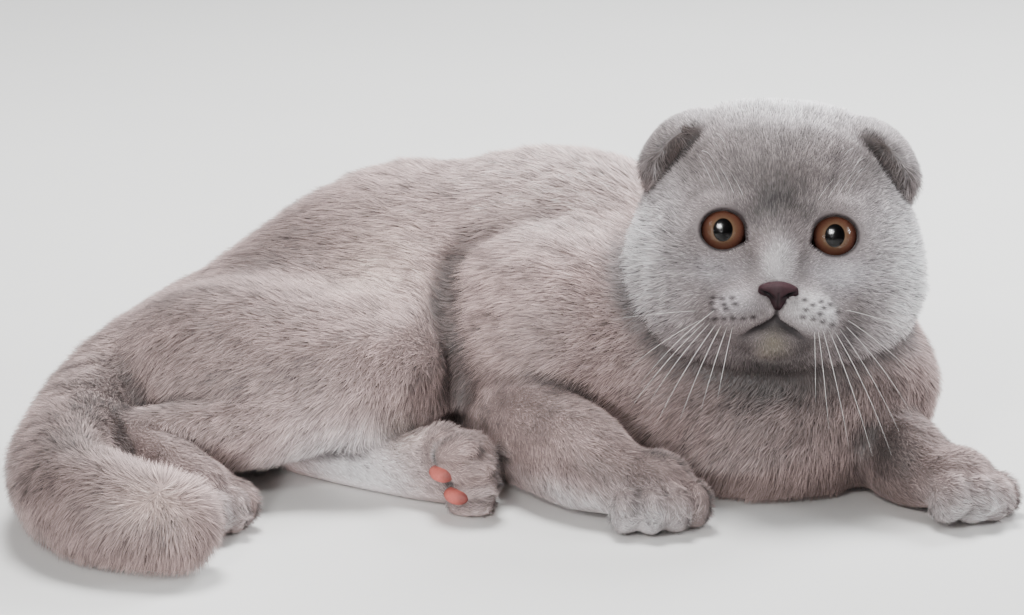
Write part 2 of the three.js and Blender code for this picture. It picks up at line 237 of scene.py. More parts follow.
def corner_lists(mesh):
    return [[v.index for v in f.verts] for f in mesh.faces]


def node_shell(name, grow):
    """The points and faces of a CAD node in millimetres, welded and grown along its normals."""
    mesh = bmesh.new()
    mesh.from_mesh(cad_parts[name].data)
    bmesh.ops.remove_doubles(mesh, verts=mesh.verts, dist=1e-6)
    mesh.normal_update()
    points = np.array([v.co / MM + v.normal * grow for v in mesh.verts]) - SHIFT
    faces = corner_lists(mesh)
    mesh.free()
    return points, faces


def mesh_object(name, points, faces):
    """A mesh in the row frame from points in millimetres, its faces as lists or an array of triangles."""
    data = bpy.data.meshes.new(name)
    if isinstance(faces, np.ndarray):
        data.vertices.add(len(points))
        data.vertices.foreach_set("co", to_row(points).astype(np.float32).ravel())
        data.loops.add(faces.size)
        data.loops.foreach_set("vertex_index", faces.astype(np.int32).ravel())
        data.polygons.add(len(faces))
        data.polygons.foreach_set("loop_start", np.arange(0, faces.size, 3, dtype=np.int32))
        data.update(calc_edges=True)
    else:
        data.from_pydata(to_row(points).tolist(), [], faces)
    data.shade_smooth()
    return add_object(name, data)


def joined(names, grow):
    """Several CAD nodes as one list of points and faces, and the node that each face comes from."""
    points, faces, owners = [], [], []
    count = 0
    for index, name in enumerate(names):
        shell_points, shell_faces = node_shell(name, grow)
        points.append(shell_points)
        faces += [[k + count for k in f] for f in shell_faces]
        owners += [index] * len(shell_faces)
        count += len(shell_points)
    return np.concatenate(points), faces, np.array(owners)


def remeshed(points, faces, voxel, fine=None):
    """Points and triangles of an even mesh round a surface. fine(points) says where to halve its edges."""
    rough = mesh_object("rough", points, faces)
    remesh = rough.modifiers.new("even", "REMESH")
    remesh.mode = "VOXEL"
    remesh.voxel_size = voxel * MM
    even = rough.evaluated_get(bpy.context.evaluated_depsgraph_get()).to_mesh()
    mesh = bmesh.new()
    mesh.from_mesh(even)
    discard(rough)
    if fine is not None:
        inside = fine(own_points(mesh))
        edges = [e for e in mesh.edges if inside[e.verts[0].index] and inside[e.verts[1].index]]
        bmesh.ops.subdivide_edges(mesh, edges=edges, cuts=1, use_grid_fill=True)
    bmesh.ops.triangulate(mesh, faces=mesh.faces)
    made = own_points(mesh), np.array(corner_lists(mesh))
    mesh.free()
    return made


class Surface:
    """A triangle mesh with the sums that smoothing and shading need."""

    def __init__(self, points, faces):
        self.points, self.faces = points, faces
        pairs = np.concatenate([faces[:, (0, 1)], faces[:, (1, 2)], faces[:, (2, 0)]])
        self.edges = np.unique(np.sort(pairs, axis=1), axis=0)
        self.degree = np.bincount(self.edges.ravel(), minlength=len(points)).astype(float)

    def face_vectors(self):
        """For each triangle, its normal as long as twice its area."""
        a, b, c = (self.points[self.faces[:, k]] for k in range(3))
        return np.cross(b - a, c - a)

    def normals(self):
        face = self.face_vectors()
        total = np.zeros_like(self.points)
        for corner, axis in itertools.product(range(3), range(3)):
            total[:, axis] += np.bincount(self.faces[:, corner], weights=face[:, axis], minlength=len(total))
        return unit(total)

    def areas(self):
        return np.linalg.norm(self.face_vectors(), axis=1) / 2

    def sink(self, depth):
        """Moves the points in along their normals."""
        self.points = self.points - self.normals() * depth[:, None]

    def spread(self, values, rounds, share=0.5):
        """Values averaged with their neighbours, round after round. share may differ from point to point."""
        values = np.array(values, float).reshape(len(self.points), -1)
        share = np.broadcast_to(np.asarray(share, float).reshape(-1, 1), (len(self.points), 1))
        near, far = self.edges.T
        for _ in range(rounds):
            mean = np.empty_like(values)
            for k in range(values.shape[1]):
                column = values[:, k]
                total = np.bincount(near, weights=column[far], minlength=len(values))
                total += np.bincount(far, weights=column[near], minlength=len(values))
                mean[:, k] = total / self.degree
            values = values * (1 - share) + mean * share
        return values


def line_distance(points, line):
    """Distance from each point to a line of several points, and the direction of its nearest stretch."""
    best = np.full(len(points), np.inf)
    along = np.zeros((len(points), 3))
    for start, end in zip(line[:-1], line[1:]):
        run = end - start
        t = np.clip((points - start) @ run / (run @ run), 0, 1)
        away = np.linalg.norm(points - start - t[:, None] * run, axis=1)
        closer = away < best
        best[closer] = away[closer]
        along[closer] = unit(run)
    return best, along


# The face lies before this plane of the head's frame, and points behind it count as far off
FACE_FRONT, FAR = -28, 99.0
# The line of the mouth and the philtrum, across and up in the head's frame
MOUTH_SIDE = [(0, -32.8), (5, -36.0), (12, -38.9), (19, -40.2), (26, -39.6)]
PHILTRUM = np.array([(0.6, 0, -27), (0.2, 0, -32.8)], float)
MOUTH = [np.array([(side * x, 0, z) for x, z in MOUTH_SIDE], float) for side in SIDES.values()]


def face_line_distance(own, line):
    """Distance across and up from points in the head's frame to a line of the face."""
    away = line_distance(own * (1, 0, 1), line)[0]
    return np.where(own[:, 1] < FACE_FRONT, away, FAR)


# Small forms of the face that swell the skin or sink it: place in the head's frame, reach and height
FACE_FORMS = [
    ((-15, -54, -31.5), (9, 12, 5), 1.6),
    ((16, -55, -30.5), (9, 12, 5.5), 1.8),
    ((0, -48, -43), (7, 12, 6), 1.2),
    ((-17, -47, -41), (10, 12, 4.5), 2.8),
    ((17, -47, -41), (10, 12, 4.5), 2.8),
    ((31, -39, -33), (6, 12, 10), -2.4),
    ((-31, -39, -36), (5, 12, 8), -1.6),
    ((-11.5, -46, -9), (3, 12, 8), -1.0),
    ((10.0, -48, -11), (3, 12, 8), -1.0),
    ((0, -44, 14), (12, 12, 5), -0.8),
    ((-24, -36, 14), (12, 12, 4), 1.2),
    ((24, -36, 14), (12, 12, 4), 1.2),
    ((-24, -40, -10), (12, 12, 4), 0.9),
    ((24, -40, -10), (12, 12, 4), 0.9),
]


FACE_MIDDLE, FACE_BACK = (0, -46, -14), -16


def in_face(points):
    local = in_head(points)
    return (np.linalg.norm(local - FACE_MIDDLE, axis=1) < FACE_REACH) & (local[:, 1] < FACE_BACK)


def eye_local(points, side):
    """Points in the frame of one eye, whose gaze is along -Y. side is -1 for the cat's right eye."""
    return in_head(points) - EYE_PLACE * (side, 1, 1)


def near_ball(eye):
    """Which points of an eye's frame lie round the front of its ball."""
    return (np.linalg.norm(eye, axis=1) < BALL_REACH) & (eye[:, 1] < BALL_BACK)


def fissure_reach(local, side):
    """How far out a point lies from the middle of the opening between the lids: 1 at its edge.

    The opening reaches further at its inner corner."""
    across, up = local[:, 0] * side, local[:, 2]
    corner = np.exp(-(((across + 9.6) / 2.6) ** 2) - ((up + 4.2) / 2.2) ** 2)
    return np.sqrt((across / FISSURE[0]) ** 2 + (up / FISSURE[1]) ** 2) - corner * 0.16


def search_tree(points, faces):
    return BVHTree.FromPolygons([Vector(p) for p in points], faces)


def nearest_face(tree, points):
    return [tree.find_nearest(Vector(p))[2] for p in points]


# Skin: the flesh as one even surface, smoothed and drawn in by the depth of the coat
names = np.array(FLESH + list(BARE))
all_points, all_faces, _ = joined(names, OVERLAP)
skin = Surface(*remeshed(all_points, all_faces, SKIN_VOXEL, in_face))

cad_points, cad_faces, cad_owner = joined(names, 0.0)
cad_tree = search_tree(cad_points, cad_faces)
owner = cad_owner[nearest_face(cad_tree, skin.points)]


def belongs(*parts):
    """Which points of the skin lie over these parts."""
    return np.isin(names[owner], parts)


bare = owner >= len(FLESH)
is_head = belongs("head", "ear_right", "ear_left", "eye_right", "eye_left", "nose")
feet = [n for n in COAT if "paw" in n or "foot" in n]
is_small = is_head | belongs("toe_pad_upper", "toe_pad_lower", *feet)
ear_point = belongs("ear_right", "ear_left")
tail_point = belongs("tail_base", "tail_middle", "tail_tip")

SMALL_SHARE, LARGE_SHARE, BARE_SHARE = 0.25, 0.6, 0.1
SHAPE_ROUNDS, LARGE_ROUNDS, FIELD_ROUNDS, DEPTH_ROUNDS, COMB_ROUNDS = 8, 14, 60, 20, 220
smooth_share = np.where(is_small, SMALL_SHARE, LARGE_SHARE)
skin.points = skin.spread(skin.points, SHAPE_ROUNDS, np.where(bare, BARE_SHARE, smooth_share))
large_share = skin.spread(np.where(is_small, 0.0, LARGE_SHARE), 12)[:, 0]
skin.points = skin.spread(skin.points, LARGE_ROUNDS, large_share)

table = np.array([COAT[n][1:] for n in FLESH])
host = {"eye_right": "head", "eye_left": "head", "nose": "head"}
host_index = np.array([FLESH.index(host.get(n, n if n in COAT else "hindpaw_left")) for n in names])
length, half_width, stand, depth, density = skin.spread(table[host_index[owner]], FIELD_ROUNDS).T

local = in_head(skin.points)
from_nose = np.linalg.norm(local - NOSE_PLACE, axis=1)
on_head = skin.spread(is_head.astype(float), 10)[:, 0]
near_eye = np.minimum(*(np.linalg.norm(eye_local(skin.points, s), axis=1) for s in SIDES.values()))

# Folds sink the skin and shade it
fold_shade = np.zeros(len(skin.points))
for line, fold_depth, fold_width in FOLDS:
    along_fold = bell(line_distance(skin.points, np.array(line, float))[0], fold_width)
    skin.sink(fold_depth * along_fold)
    fold_shade = np.maximum(fold_shade, along_fold * fold_depth / DEEPEST_FOLD)


def mouth_distance(own):
    return np.minimum(*(face_line_distance(own, line) for line in MOUTH))


# On the head the hair is shortest on the muzzle and lids and longest on the cheeks
MUZZLE_LENGTH, EAR_LENGTH = 1.9, 3.0
cheek = ramp(from_nose, 30, 75) * ramp(-local[:, 2], -25, 15)
head_length = MUZZLE_LENGTH + 1.5 * ramp(from_nose, 10, 40) + 3.6 * cheek + 1.0 * ramp(local[:, 1], -20, 20)
head_length *= 0.55 + 0.45 * ramp(near_eye, 12, 22)
head_length *= 0.5 + 0.5 * ramp(mouth_distance(local), 1, 6)
head_length = np.where(ear_point, EAR_LENGTH, head_length)
length = blended(length, head_length, on_head)
depth = blended(depth, head_length * 0.38, on_head)
half_width = blended(half_width, 0.12 + 0.026 * head_length, on_head)
density = blended(density, np.clip(9.5 / head_length**0.9, 1.2, 5.5), on_head)

# The underside is pressed flat, with thin, short fur
pressed = (1 - ramp(skin.points[:, 2], 1.5, 7)) * ramp(-skin.normals()[:, 2], 0.3, 0.8)
depth = depth * (1 - 0.85 * pressed)
stand = stand * (1 - 0.8 * pressed)
density = density * (1 - 0.6 * pressed)

depth = skin.spread(depth, DEPTH_ROUNDS)[:, 0]
for name, sink in BARE.items():
    depth = np.where(belongs(name), sink, depth)
LID_DEPTH, LID_REACH = 0.15, (12.5, 18)
depth = np.where(bare, depth, depth * (LID_DEPTH + (1 - LID_DEPTH) * ramp(near_eye, *LID_REACH)))
skin.sink(depth)
skin.points = skin.spread(skin.points, 4, np.where(is_small, 0.0, 0.5))

# Line of the mouth, philtrum and the small forms
MOUTH_GROOVE, PHILTRUM_GROOVE = (1.8, 1.3), (1.5, 1.1)
local = in_head(skin.points)
mouth_away = mouth_distance(local)
philtrum_away = face_line_distance(local, PHILTRUM)
mouth_open = 1 - ramp(np.abs(local[:, 0]), 8, 15)
groove = MOUTH_GROOVE[0] * mouth_open * bell(mouth_away, MOUTH_GROOVE[1])
groove = groove + PHILTRUM_GROOVE[0] * bell(philtrum_away, PHILTRUM_GROOVE[1])
for place, reach, height in FACE_FORMS:
    groove = groove - height * blob(local, place, reach)
skin.sink(groove)

# The skin makes way for the eyeballs and holds the lids just off them
LID_EDGE, LID_FRONT, LID_CLEAR, SOCKET = 0.97, -1.5, 1.0, 4.0
for side in SIDES.values():
    eye = eye_local(skin.points, side)
    reach = fissure_reach(eye, side)
    front = near_ball(eye)
    behind = front & (reach < LID_EDGE)
    lid = front & (reach >= LID_EDGE) & (eye[:, 1] < LID_FRONT)
    radius = np.linalg.norm(eye, axis=1)
    held = eye * (np.maximum(radius, EYE_RADIUS + LID_CLEAR) / np.maximum(radius, 1e-6))[:, None]
    sunk = eye.copy()
    sunk[:, 1] = SOCKET
    eye = np.where(behind[:, None], sunk, np.where(lid[:, None], held, eye))
    skin.points = np.where(front[:, None], from_head(eye + EYE_PLACE * (side, 1, 1)), skin.points)
FLOOR_CLEAR = 0.4
skin.points[:, 2] = np.maximum(skin.points[:, 2], FLOOR_CLEAR)
skin_normals = skin.normals()


def along_skin(directions):
    """Directions without the part that leaves the skin."""
    return directions - skin_normals * np.sum(directions * skin_normals, axis=1, keepdims=True)


# Lie of the hair: each part's comb direction, the tail's own line, and outward from the nose on the head
comb = np.array([COAT[n][0] for n in FLESH], float)[host_index[owner]]
tail_along = line_distance(skin.points, TAIL_PATH)[1]
comb = np.where(tail_point[:, None], 0.35 * tail_along + np.array((-0.45, -0.35, -0.6)), comb)
# The rump's hair turns towards the tail
to_tail = belongs("rump", "thigh_right") * ramp(-skin.points[:, 0], 105, 150)
comb = blended(comb, np.array((-0.45, -0.75, -0.55)), to_tail)
# Over the shoulder it lies level, and higher up it rises towards the back
over_shoulder = belongs("chest", "belly", "neck") * (1 - ramp(skin.points[:, 0], 30, 80))
over_shoulder = over_shoulder * ramp(skin.points[:, 0], -40, -20)
climb = 0.55 * ramp(skin.points[:, 2], 62, 100) - 0.2
level = np.stack([np.full(len(climb), -1.0), np.zeros(len(climb)), climb], axis=1)
comb = blended(comb, level, over_shoulder)
# High on the back the hair runs along it
along_back = belongs("chest", "belly", "rump", "neck") * ramp(skin_normals[:, 2], 0.35, 0.8)
comb = blended(comb, np.array((-1.0, -0.1, -0.1)), along_back)
# At the tail's tip it parts
from_whorl = skin.points - TAIL_WHORL
whorl = WHORL_STRENGTH * tail_point * np.exp(-np.sum(from_whorl**2, axis=1) / WHORL_REACH**2)
comb = blended(comb, 1.2 * unit(from_whorl + 22 * noise_vector(skin.points, 15, 77)), whorl)
# In the cup of the ear it is longer, and runs out and down over the brow
head_normals = skin_normals @ HEAD
cup = ear_point * ramp(-head_normals[:, 2], -0.3, 0.1) * ramp(-local[:, 1], -4, 4)
cup = skin.spread(cup, 5)[:, 0]
LIE_SOURCE = np.array((0.0, -62.0, -17.0))
outward = unit(local - LIE_SOURCE) + np.array((0, 0, -0.12))
from_ear = np.tile((-0.55, -0.5, -0.65), (len(local), 1))
from_ear[:, 0] *= np.sign(local[:, 0])
outward = blended(outward, from_ear, cup)
length = length + 2.6 * cup
stand = stand + 12 * cup
comb = along_skin(np.where(is_head[:, None], outward @ HEAD.T, comb))
comb = unit(along_skin(skin.spread(comb, COMB_ROUNDS, smooth_share)))

# Hair keeps off the bare parts, the line of the mouth and the openings of the eyes
BALD_LID, BALD_MOUTH, BALD_PHILTRUM = 1.12, 0.9, 0.8
bald = bare.astype(float)
for side in SIDES.values():
    eye = eye_local(skin.points, side)
    bald = np.where(near_ball(eye) & (fissure_reach(eye, side) < BALD_LID), 1, bald)
bald = np.where(mouth_away < BALD_MOUTH * mouth_open, 1, bald)
bald = np.where(philtrum_away < BALD_PHILTRUM, 1, bald)
density = density * (1 - bald)

# Colour of the coat, and of the painted light and shade on it
COAT_MID = linear(170, 147, 143)
COAT_PALE_AND_HIGHLIGHT = linear(216, 198, 194)
COAT_WARM = linear(206, 182, 172)
COAT_DARK_AND_SHADE = linear(92, 78, 75)
# Painted shadow, for under the chin and jowls and where a foreleg meets the chest
SHADOW_DARK = linear(36, 32, 31)
SNOW_AND_HIGHLIGHT = linear(236, 230, 232)
FACE_GREY = linear(140, 129, 129)
FACE_PALE = linear(214, 209, 215)
FACE_DARK_AND_SHADE = linear(86, 77, 75)
BROW_DARK = linear(52, 46, 45)
CHIN_TAN = linear(134, 124, 108)
DARK_SKIN_AND_SHADE = linear(48, 41, 43)
# Painted shade for the cups under the ear flaps
EAR_CUP_SHADE = linear(96, 82, 79)
LID_DARK = linear(48, 36, 38)

# Markings, some of them painted light and shade: place in the body's or the head's frame, reach, colour,
# strength
BODY_MARKS = [
    ((-135, -30, 46), (62, 90, 44), COAT_DARK_AND_SHADE, 0.3),
    ((70, -70, 22), (90, 40, 26), COAT_DARK_AND_SHADE, 0.22),
    # Painted highlights along the top of the back and on the shoulder
    ((20, 66, 116), (70, 40, 22), COAT_PALE_AND_HIGHLIGHT, 0.45),
    ((20, 30, 100), (26, 24, 18), COAT_PALE_AND_HIGHLIGHT, 0.35),
    ((-60, 30, 78), (22, 30, 24), COAT_WARM, 0.55),
    ((-96, 60, 86), (30, 34, 20), COAT_DARK_AND_SHADE, 0.55),
    ((-108, 52, 78), (30, 20, 16), COAT_DARK_AND_SHADE, 0.75),
    # Painted shadow under the chin
    ((107, -42, 48), (46, 20, 12), SHADOW_DARK, 0.97),
    ((-142, 8, 70), (26, 22, 14), COAT_DARK_AND_SHADE, 0.6),
    ((-168, -50, 44), (20, 30, 14), COAT_DARK_AND_SHADE, 0.35),
    ((-160, -150, 30), (20, 20, 15), COAT_DARK_AND_SHADE, 0.6),
    ((-140, -150, 14), (32, 24, 11), COAT_DARK_AND_SHADE, 0.65),
    ((-139, -52, 44), (22, 26, 14), COAT_DARK_AND_SHADE, 0.35),
    ((-118, -10, 66), (26, 40, 16), COAT_DARK_AND_SHADE, 0.22),
    ((-86, -38, 50), (30, 30, 18), COAT_DARK_AND_SHADE, 0.52),
    ((-38, -30, 42), (17, 26, 20), COAT_DARK_AND_SHADE, 0.22),
    ((8, -40, 42), (24, 26, 15), COAT_DARK_AND_SHADE, 0.45),
    # Painted shade at the bottom of the flank fold
    ((-22, -40, 30), (7, 16, 14), COAT_DARK_AND_SHADE, 0.8),
    ((50, -86, 22), (15, 13, 8), COAT_DARK_AND_SHADE, 0.5),
    ((175, -72, 20), (13, 12, 8), COAT_DARK_AND_SHADE, 0.45),
    ((26, -78, 6), (34, 30, 9), SNOW_AND_HIGHLIGHT, 0.65),
    ((-181, -118, 34), (18, 40, 24), COAT_DARK_AND_SHADE, 0.7),
    ((-138, -154, 32), (15, 16, 9), COAT_WARM, 0.6),
    ((-160, -110, 48), (22, 22, 10), COAT_PALE_AND_HIGHLIGHT, 0.3),
    ((-165, -30, 42), (26, 36, 14), COAT_PALE_AND_HIGHLIGHT, 0.2),
    ((-66, -38, 10), (32, 22, 18), SNOW_AND_HIGHLIGHT, 0.95),
    ((-44, -38, 27), (12, 14, 8), COAT_WARM, 0.5),
    ((-14, -66, 24), (14, 14, 14), COAT_DARK_AND_SHADE, 0.22),
    ((54, -100, 4), (24, 13, 9), SNOW_AND_HIGHLIGHT, 0.85),
    ((188, -88, 5), (24, 18, 10), SNOW_AND_HIGHLIGHT, 0.85),
    # Painted shadow where a foreleg meets the chest
    ((152, -58, 23), (16, 18, 14), SHADOW_DARK, 0.8),
    # Painted shade along the fold of the breast
    ((107, -50, 30), (40, 14, 5), COAT_DARK_AND_SHADE, 0.3),
    ((70, -20, 60), (12, 30, 30), COAT_DARK_AND_SHADE, 0.25),
    ((-114, -104, 8), (16, 14, 10), SNOW_AND_HIGHLIGHT, 0.4),
]
HEAD_MARKS = [
    ((-10, -34, 31), (22, 26, 16), FACE_DARK_AND_SHADE, 0.5),
    ((16, -34, 31), (20, 26, 15), FACE_DARK_AND_SHADE, 0.5),
    ((-2, -40, 24), (14, 20, 12), FACE_DARK_AND_SHADE, 0.6),
    ((-36, -22, 24), (13, 22, 10), FACE_DARK_AND_SHADE, 0.4),
    ((40, -22, 24), (13, 22, 10), FACE_DARK_AND_SHADE, 0.35),
    # Painted shadow under the folded ear flaps
    ((-40, -20, 31), (9, 16, 9), FACE_DARK_AND_SHADE, 0.75),
    ((38, -21, 33), (8, 16, 10), FACE_DARK_AND_SHADE, 0.75),
    ((-51, -12, 40), (12, 14, 16), FACE_DARK_AND_SHADE, 0.7),
    ((-1, -44, 13.5), (12, 14, 8), BROW_DARK, 0.95),
    ((-14, -42, 9.5), (6, 12, 4), BROW_DARK, 0.5),
    ((13, -42, 10), (6, 12, 4), BROW_DARK, 0.5),
    ((0, -51, -11), (6, 12, 9), SNOW_AND_HIGHLIGHT, 0.75),
    ((-11.4, -46, -9), (2.8, 10, 7), FACE_DARK_AND_SHADE, 0.65),
    ((9.6, -48, -11), (2.8, 10, 7), FACE_DARK_AND_SHADE, 0.6),
    ((16, -55, -28), (13, 12, 8), SNOW_AND_HIGHLIGHT, 0.9),
    ((-17, -54, -27), (11, 12, 6), FACE_PALE, 0.4),
    # Painted shade under the jaw, round the chin
    ((0, -48, -46), (24, 16, 9), FACE_DARK_AND_SHADE, 0.8),
    # Painted shadow under the jowls
    ((0, -30, -54), (34, 22, 6), SHADOW_DARK, 0.85),
    ((0, -48, -36.5), (6, 12, 3), DARK_SKIN_AND_SHADE, 0.7),
    ((-11.5, -45, -43), (4.5, 12, 6), DARK_SKIN_AND_SHADE, 0.6),
    ((12, -45, -43.5), (5, 12, 6), DARK_SKIN_AND_SHADE, 0.65),
    ((0.3, -48, -43), (4.6, 12, 5), CHIN_TAN, 0.75),
    # Painted shadow between the whisker pad and the cheek
    ((31, -36, -37), (6.5, 14, 9), DARK_SKIN_AND_SHADE, 0.9),
    ((37, -34, -29), (7, 14, 8), FACE_DARK_AND_SHADE, 0.55),
    ((-25, -42, -40.5), (9, 14, 4), FACE_DARK_AND_SHADE, 0.6),
    # Painted shadow beside the other whisker pad
    ((-31, -38, -34), (4, 12, 7), FACE_DARK_AND_SHADE, 0.4),
    # Painted highlights along the outer sides of the cheeks and over the top of the head
    ((58, -10, -8), (21, 34, 36), SNOW_AND_HIGHLIGHT, 0.85),
    ((-57, -10, -10), (20, 34, 32), SNOW_AND_HIGHLIGHT, 0.8),
    ((0, 6, 59), (54, 44, 12), SNOW_AND_HIGHLIGHT, 0.9),
    ((-24, -38, -14), (13, 14, 6), FACE_PALE, 0.45),
    ((26, -38, -13), (13, 14, 7), FACE_PALE, 0.75),
    ((-44, -22, -8), (6, 20, 14), FACE_DARK_AND_SHADE, 0.3),
]
# Dark spots where the whiskers grow, in rows: across and up in the head's frame
SPOTS = [
    [(-25.3, -25.5), (-21.8, -25.8), (-17.8, -25.2), (-25.6, -27.6), (-20.9, -28.1), (-16.5, -27.5)],
    [(-24.7, -30.4), (-20, -29.7), (-24, -34), (-20.6, -33.8), (-17, -33.4), (-13, -33), (-9, -32.4)],
    [(11.4, -24.5), (18, -24.9), (14.7, -26.3), (19.2, -27.3), (12, -28.4), (21.7, -25.9)],
    [(25.3, -28.6), (17.7, -29.8), (11, -31.4), (15, -32), (19, -32.8), (23, -33.8)],
]
SPOT_RADIUS, SPOT_STRETCH, SPOT_FRONT = 1.0, 1.5, -30


def coat_colour(points, head_share, folds):
    """The colour of the coat at points of the skin, with its painted light and shade, before the tufts vary
    it.
    """
    own = in_head(points)
    colour = blended(np.repeat(COAT_MID[None], len(points), axis=0), FACE_GREY, head_share)
    waver = 1.5 * noise_vector(points, 9, 70)
    for marks, places, share in ((BODY_MARKS, points, 1 - head_share), (HEAD_MARKS, own, head_share)):
        for place, reach, paint, strength in marks:
            colour = blended(colour, paint, strength * share * blob(places + waver, place, reach))
    # Faint stripes run up the forehead and break the grey
    wander = own[:, 0] + 4.5 * noise(points, 11, 81)
    stripes = ramp(np.cos(wander * 0.6), -0.2, 0.9) * (0.55 + 0.45 * noise(points, 6, 82))
    stripes *= ramp(own[:, 2], 10, 20) * (1 - ramp(own[:, 2], 44, 54)) * (1 - ramp(np.abs(own[:, 0]), 18, 32))
    colour = blended(colour, BROW_DARK, 0.4 * stripes * head_share * (own[:, 1] < 0))
    # The tail has faint bands
    along_tail = np.cumsum(np.linalg.norm(np.diff(TAIL_PATH, axis=0), axis=1))
    nearest = np.argmin([np.linalg.norm(points - p, axis=1) for p in TAIL_PATH[1:]], axis=0)
    way = along_tail[nearest] + 4 * noise(points, 10, 83)
    is_tail = (points[:, 0] < -108) & (points[:, 1] < 20)
    colour = blended(colour, COAT_DARK_AND_SHADE, 0.16 * is_tail * ramp(np.sin(way * 0.24), 0, 0.8))
    # Painted shade in the folds of the body, weaker high up
    colour = blended(colour, COAT_DARK_AND_SHADE * 0.8, 0.5 * folds * (1 - 0.7 * ramp(points[:, 2], 70, 100)))
    broad = 1 + 0.07 * noise(points, 30, 11) + 0.08 * noise(points, 11, 12) + 0.05 * noise(points, 5, 13)
    return np.clip(colour * broad[:, None], 0, 1)


def spot_shade(points):
    """How dark the whisker spots make each point."""
    own = in_head(points)
    shade = np.zeros(len(points))
    for across, up in itertools.chain(*SPOTS):
        away = np.hypot((own[:, 0] - across) / SPOT_STRETCH, own[:, 2] - up)
        shade = np.maximum(shade, bell(away, SPOT_RADIUS) * (own[:, 1] < SPOT_FRONT))
    return shade


# Painted shade in the hollows and painted highlights on the edges, from how the skin bends over a short and a
# longer reach
bend_near = np.sum((skin.spread(skin.points, 6) - skin.points) * skin_normals, axis=1)
bend_far = np.sum((skin.spread(skin.points, 60) - skin.points) * skin_normals, axis=1)
hollow_shade = ramp(1.3 * bend_near + 0.55 * bend_far, 0.12, 1.1) * (1 - bald * (near_eye < 16))
by_pad = is_head & (local[:, 1] < -30) & (local[:, 2] < -30) & (local[:, 2] > -46)
hollow_shade *= 1 - 0.75 * by_pad * ramp(np.abs(local[:, 0]), 6, 12)
hollow_shade *= 1 - 0.6 * (1 - is_head) * ramp(skin.points[:, 2], 82, 98)
ridge_highlight = ramp(-1.6 * bend_near, 0.12, 0.6)
head_tint = skin.spread(is_head.astype(float), 40)[:, 0] * (0.3 + 0.7 * ramp(-local[:, 1], -34, 4))
lip_fade = 1 - 0.8 * ramp(np.abs(local[:, 0]), 7, 15)
lip = np.maximum(lip_fade * bell(mouth_away, 1.2), 0.8 * bell(philtrum_away, 1.1))
lid_edge = np.zeros(len(skin.points))
for side in SIDES.values():
    eye = eye_local(skin.points, side)
    lid_edge = np.where(near_ball(eye), 1 - ramp(fissure_reach(eye, side), 1.02, 1.16), lid_edge)


def painted(points):
    """All the markings, painted shade and painted highlights at points that belong to the points of the skin.
    """
    colour = coat_colour(points, head_tint, fold_shade)
    # Painted shade in the hollows
    colour = blended(colour, colour * 0.3, 0.9 * hollow_shade)
    # Dark lip skin along the mouth line and philtrum, deepened by painted shade in their grooves
    colour = blended(colour, DARK_SKIN_AND_SHADE, 0.92 * lip)
    colour = blended(colour, DARK_SKIN_AND_SHADE, 0.95 * spot_shade(points))
    # Painted shade in the cups under the folded ear flaps
    colour = blended(colour, EAR_CUP_SHADE, cup * (0.75 + 0.25 * noise(points, 4, 91)))
    # Painted highlight along the ears' rims
    colour = blended(colour, SNOW_AND_HIGHLIGHT, 0.55 * ridge_highlight * ear_point * ramp(-local[:, 1], 0, 6))
    return blended(colour, LID_DARK, 0.9 * lid_edge)


# A tuft hides its root, so it takes the marking from where its outer half lies
SHOWN_AT, GROUND_TONE = 0.6, 0.7
skin_colour = painted(skin.points) * GROUND_TONE
base_colour = painted(skin.points + comb * (SHOWN_AT * length)[:, None])


class Look:
    """A material under construction."""

    def __init__(self, name, roughness, specular):
        self.material = bpy.data.materials.new(name)
        self.material.use_nodes = True
        self.tree = self.material.node_tree
        self.shader = self.tree.nodes["Principled BSDF"]
        self.link(roughness, self.shader.inputs["Roughness"])
        self.link(specular, self.shader.inputs["Specular IOR Level"])

    def link(self, source, socket):
        """Gives an input its value, or the output that feeds it."""
        if isinstance(source, bpy.types.NodeSocket):
            self.tree.links.new(source, socket)
        else:
            socket.default_value = source

    def node(self, kind, inputs, **settings):
        """Adds a node with some of its inputs, by name or number, and settings."""
        made = self.tree.nodes.new(f"ShaderNode{kind}")
        for key, value in settings.items():
            setattr(made, key, value)
        for key, value in inputs.items():
            self.link(value, made.inputs[key])
        return made

    def maths(self, operation, first, second=0.0):
        return self.node("Math", {0: first, 1: second}, operation=operation).outputs[0]

    def noise(self, scale, detail, place=None):
        """Noise, in the object's own space where no place is given."""
        place = place or self.node("TexCoord", {}).outputs["Object"]
        return self.node("TexNoise", {"Vector": place, "Scale": scale, "Detail": detail}).outputs["Fac"]

    def tint(self, value, stops):
        """A colour from a value, by (position, colour) stops."""
        made = self.node("ValToRGB", {0: value})
        elements = made.color_ramp.elements
        while len(elements) < len(stops):
            elements.new(0.5)
        for element, (position, colour) in zip(elements, stops):
            element.position = position
            element.color = (*linear(*colour), 1)
        return made.outputs[0]

    def bump(self, height, strength, distance):
        """Fine relief."""
        made = self.node("Bump", {"Height": height, "Strength": strength, "Distance": distance})
        self.link(made.outputs["Normal"], self.shader.inputs["Normal"])


def speckled_material(name, roughness, specular, dark, pale, scale, detail, relief=None):
    """A material that wavers between two colours. relief is the strength and distance of the bump."""
    look = Look(name, roughness, specular)
    pattern = look.noise(scale, detail)
    look.link(look.tint(pattern, [(0, dark), (1, pale)]), look.shader.inputs["Base Color"])
    if relief:
        look.bump(pattern, *relief)
    return look.material


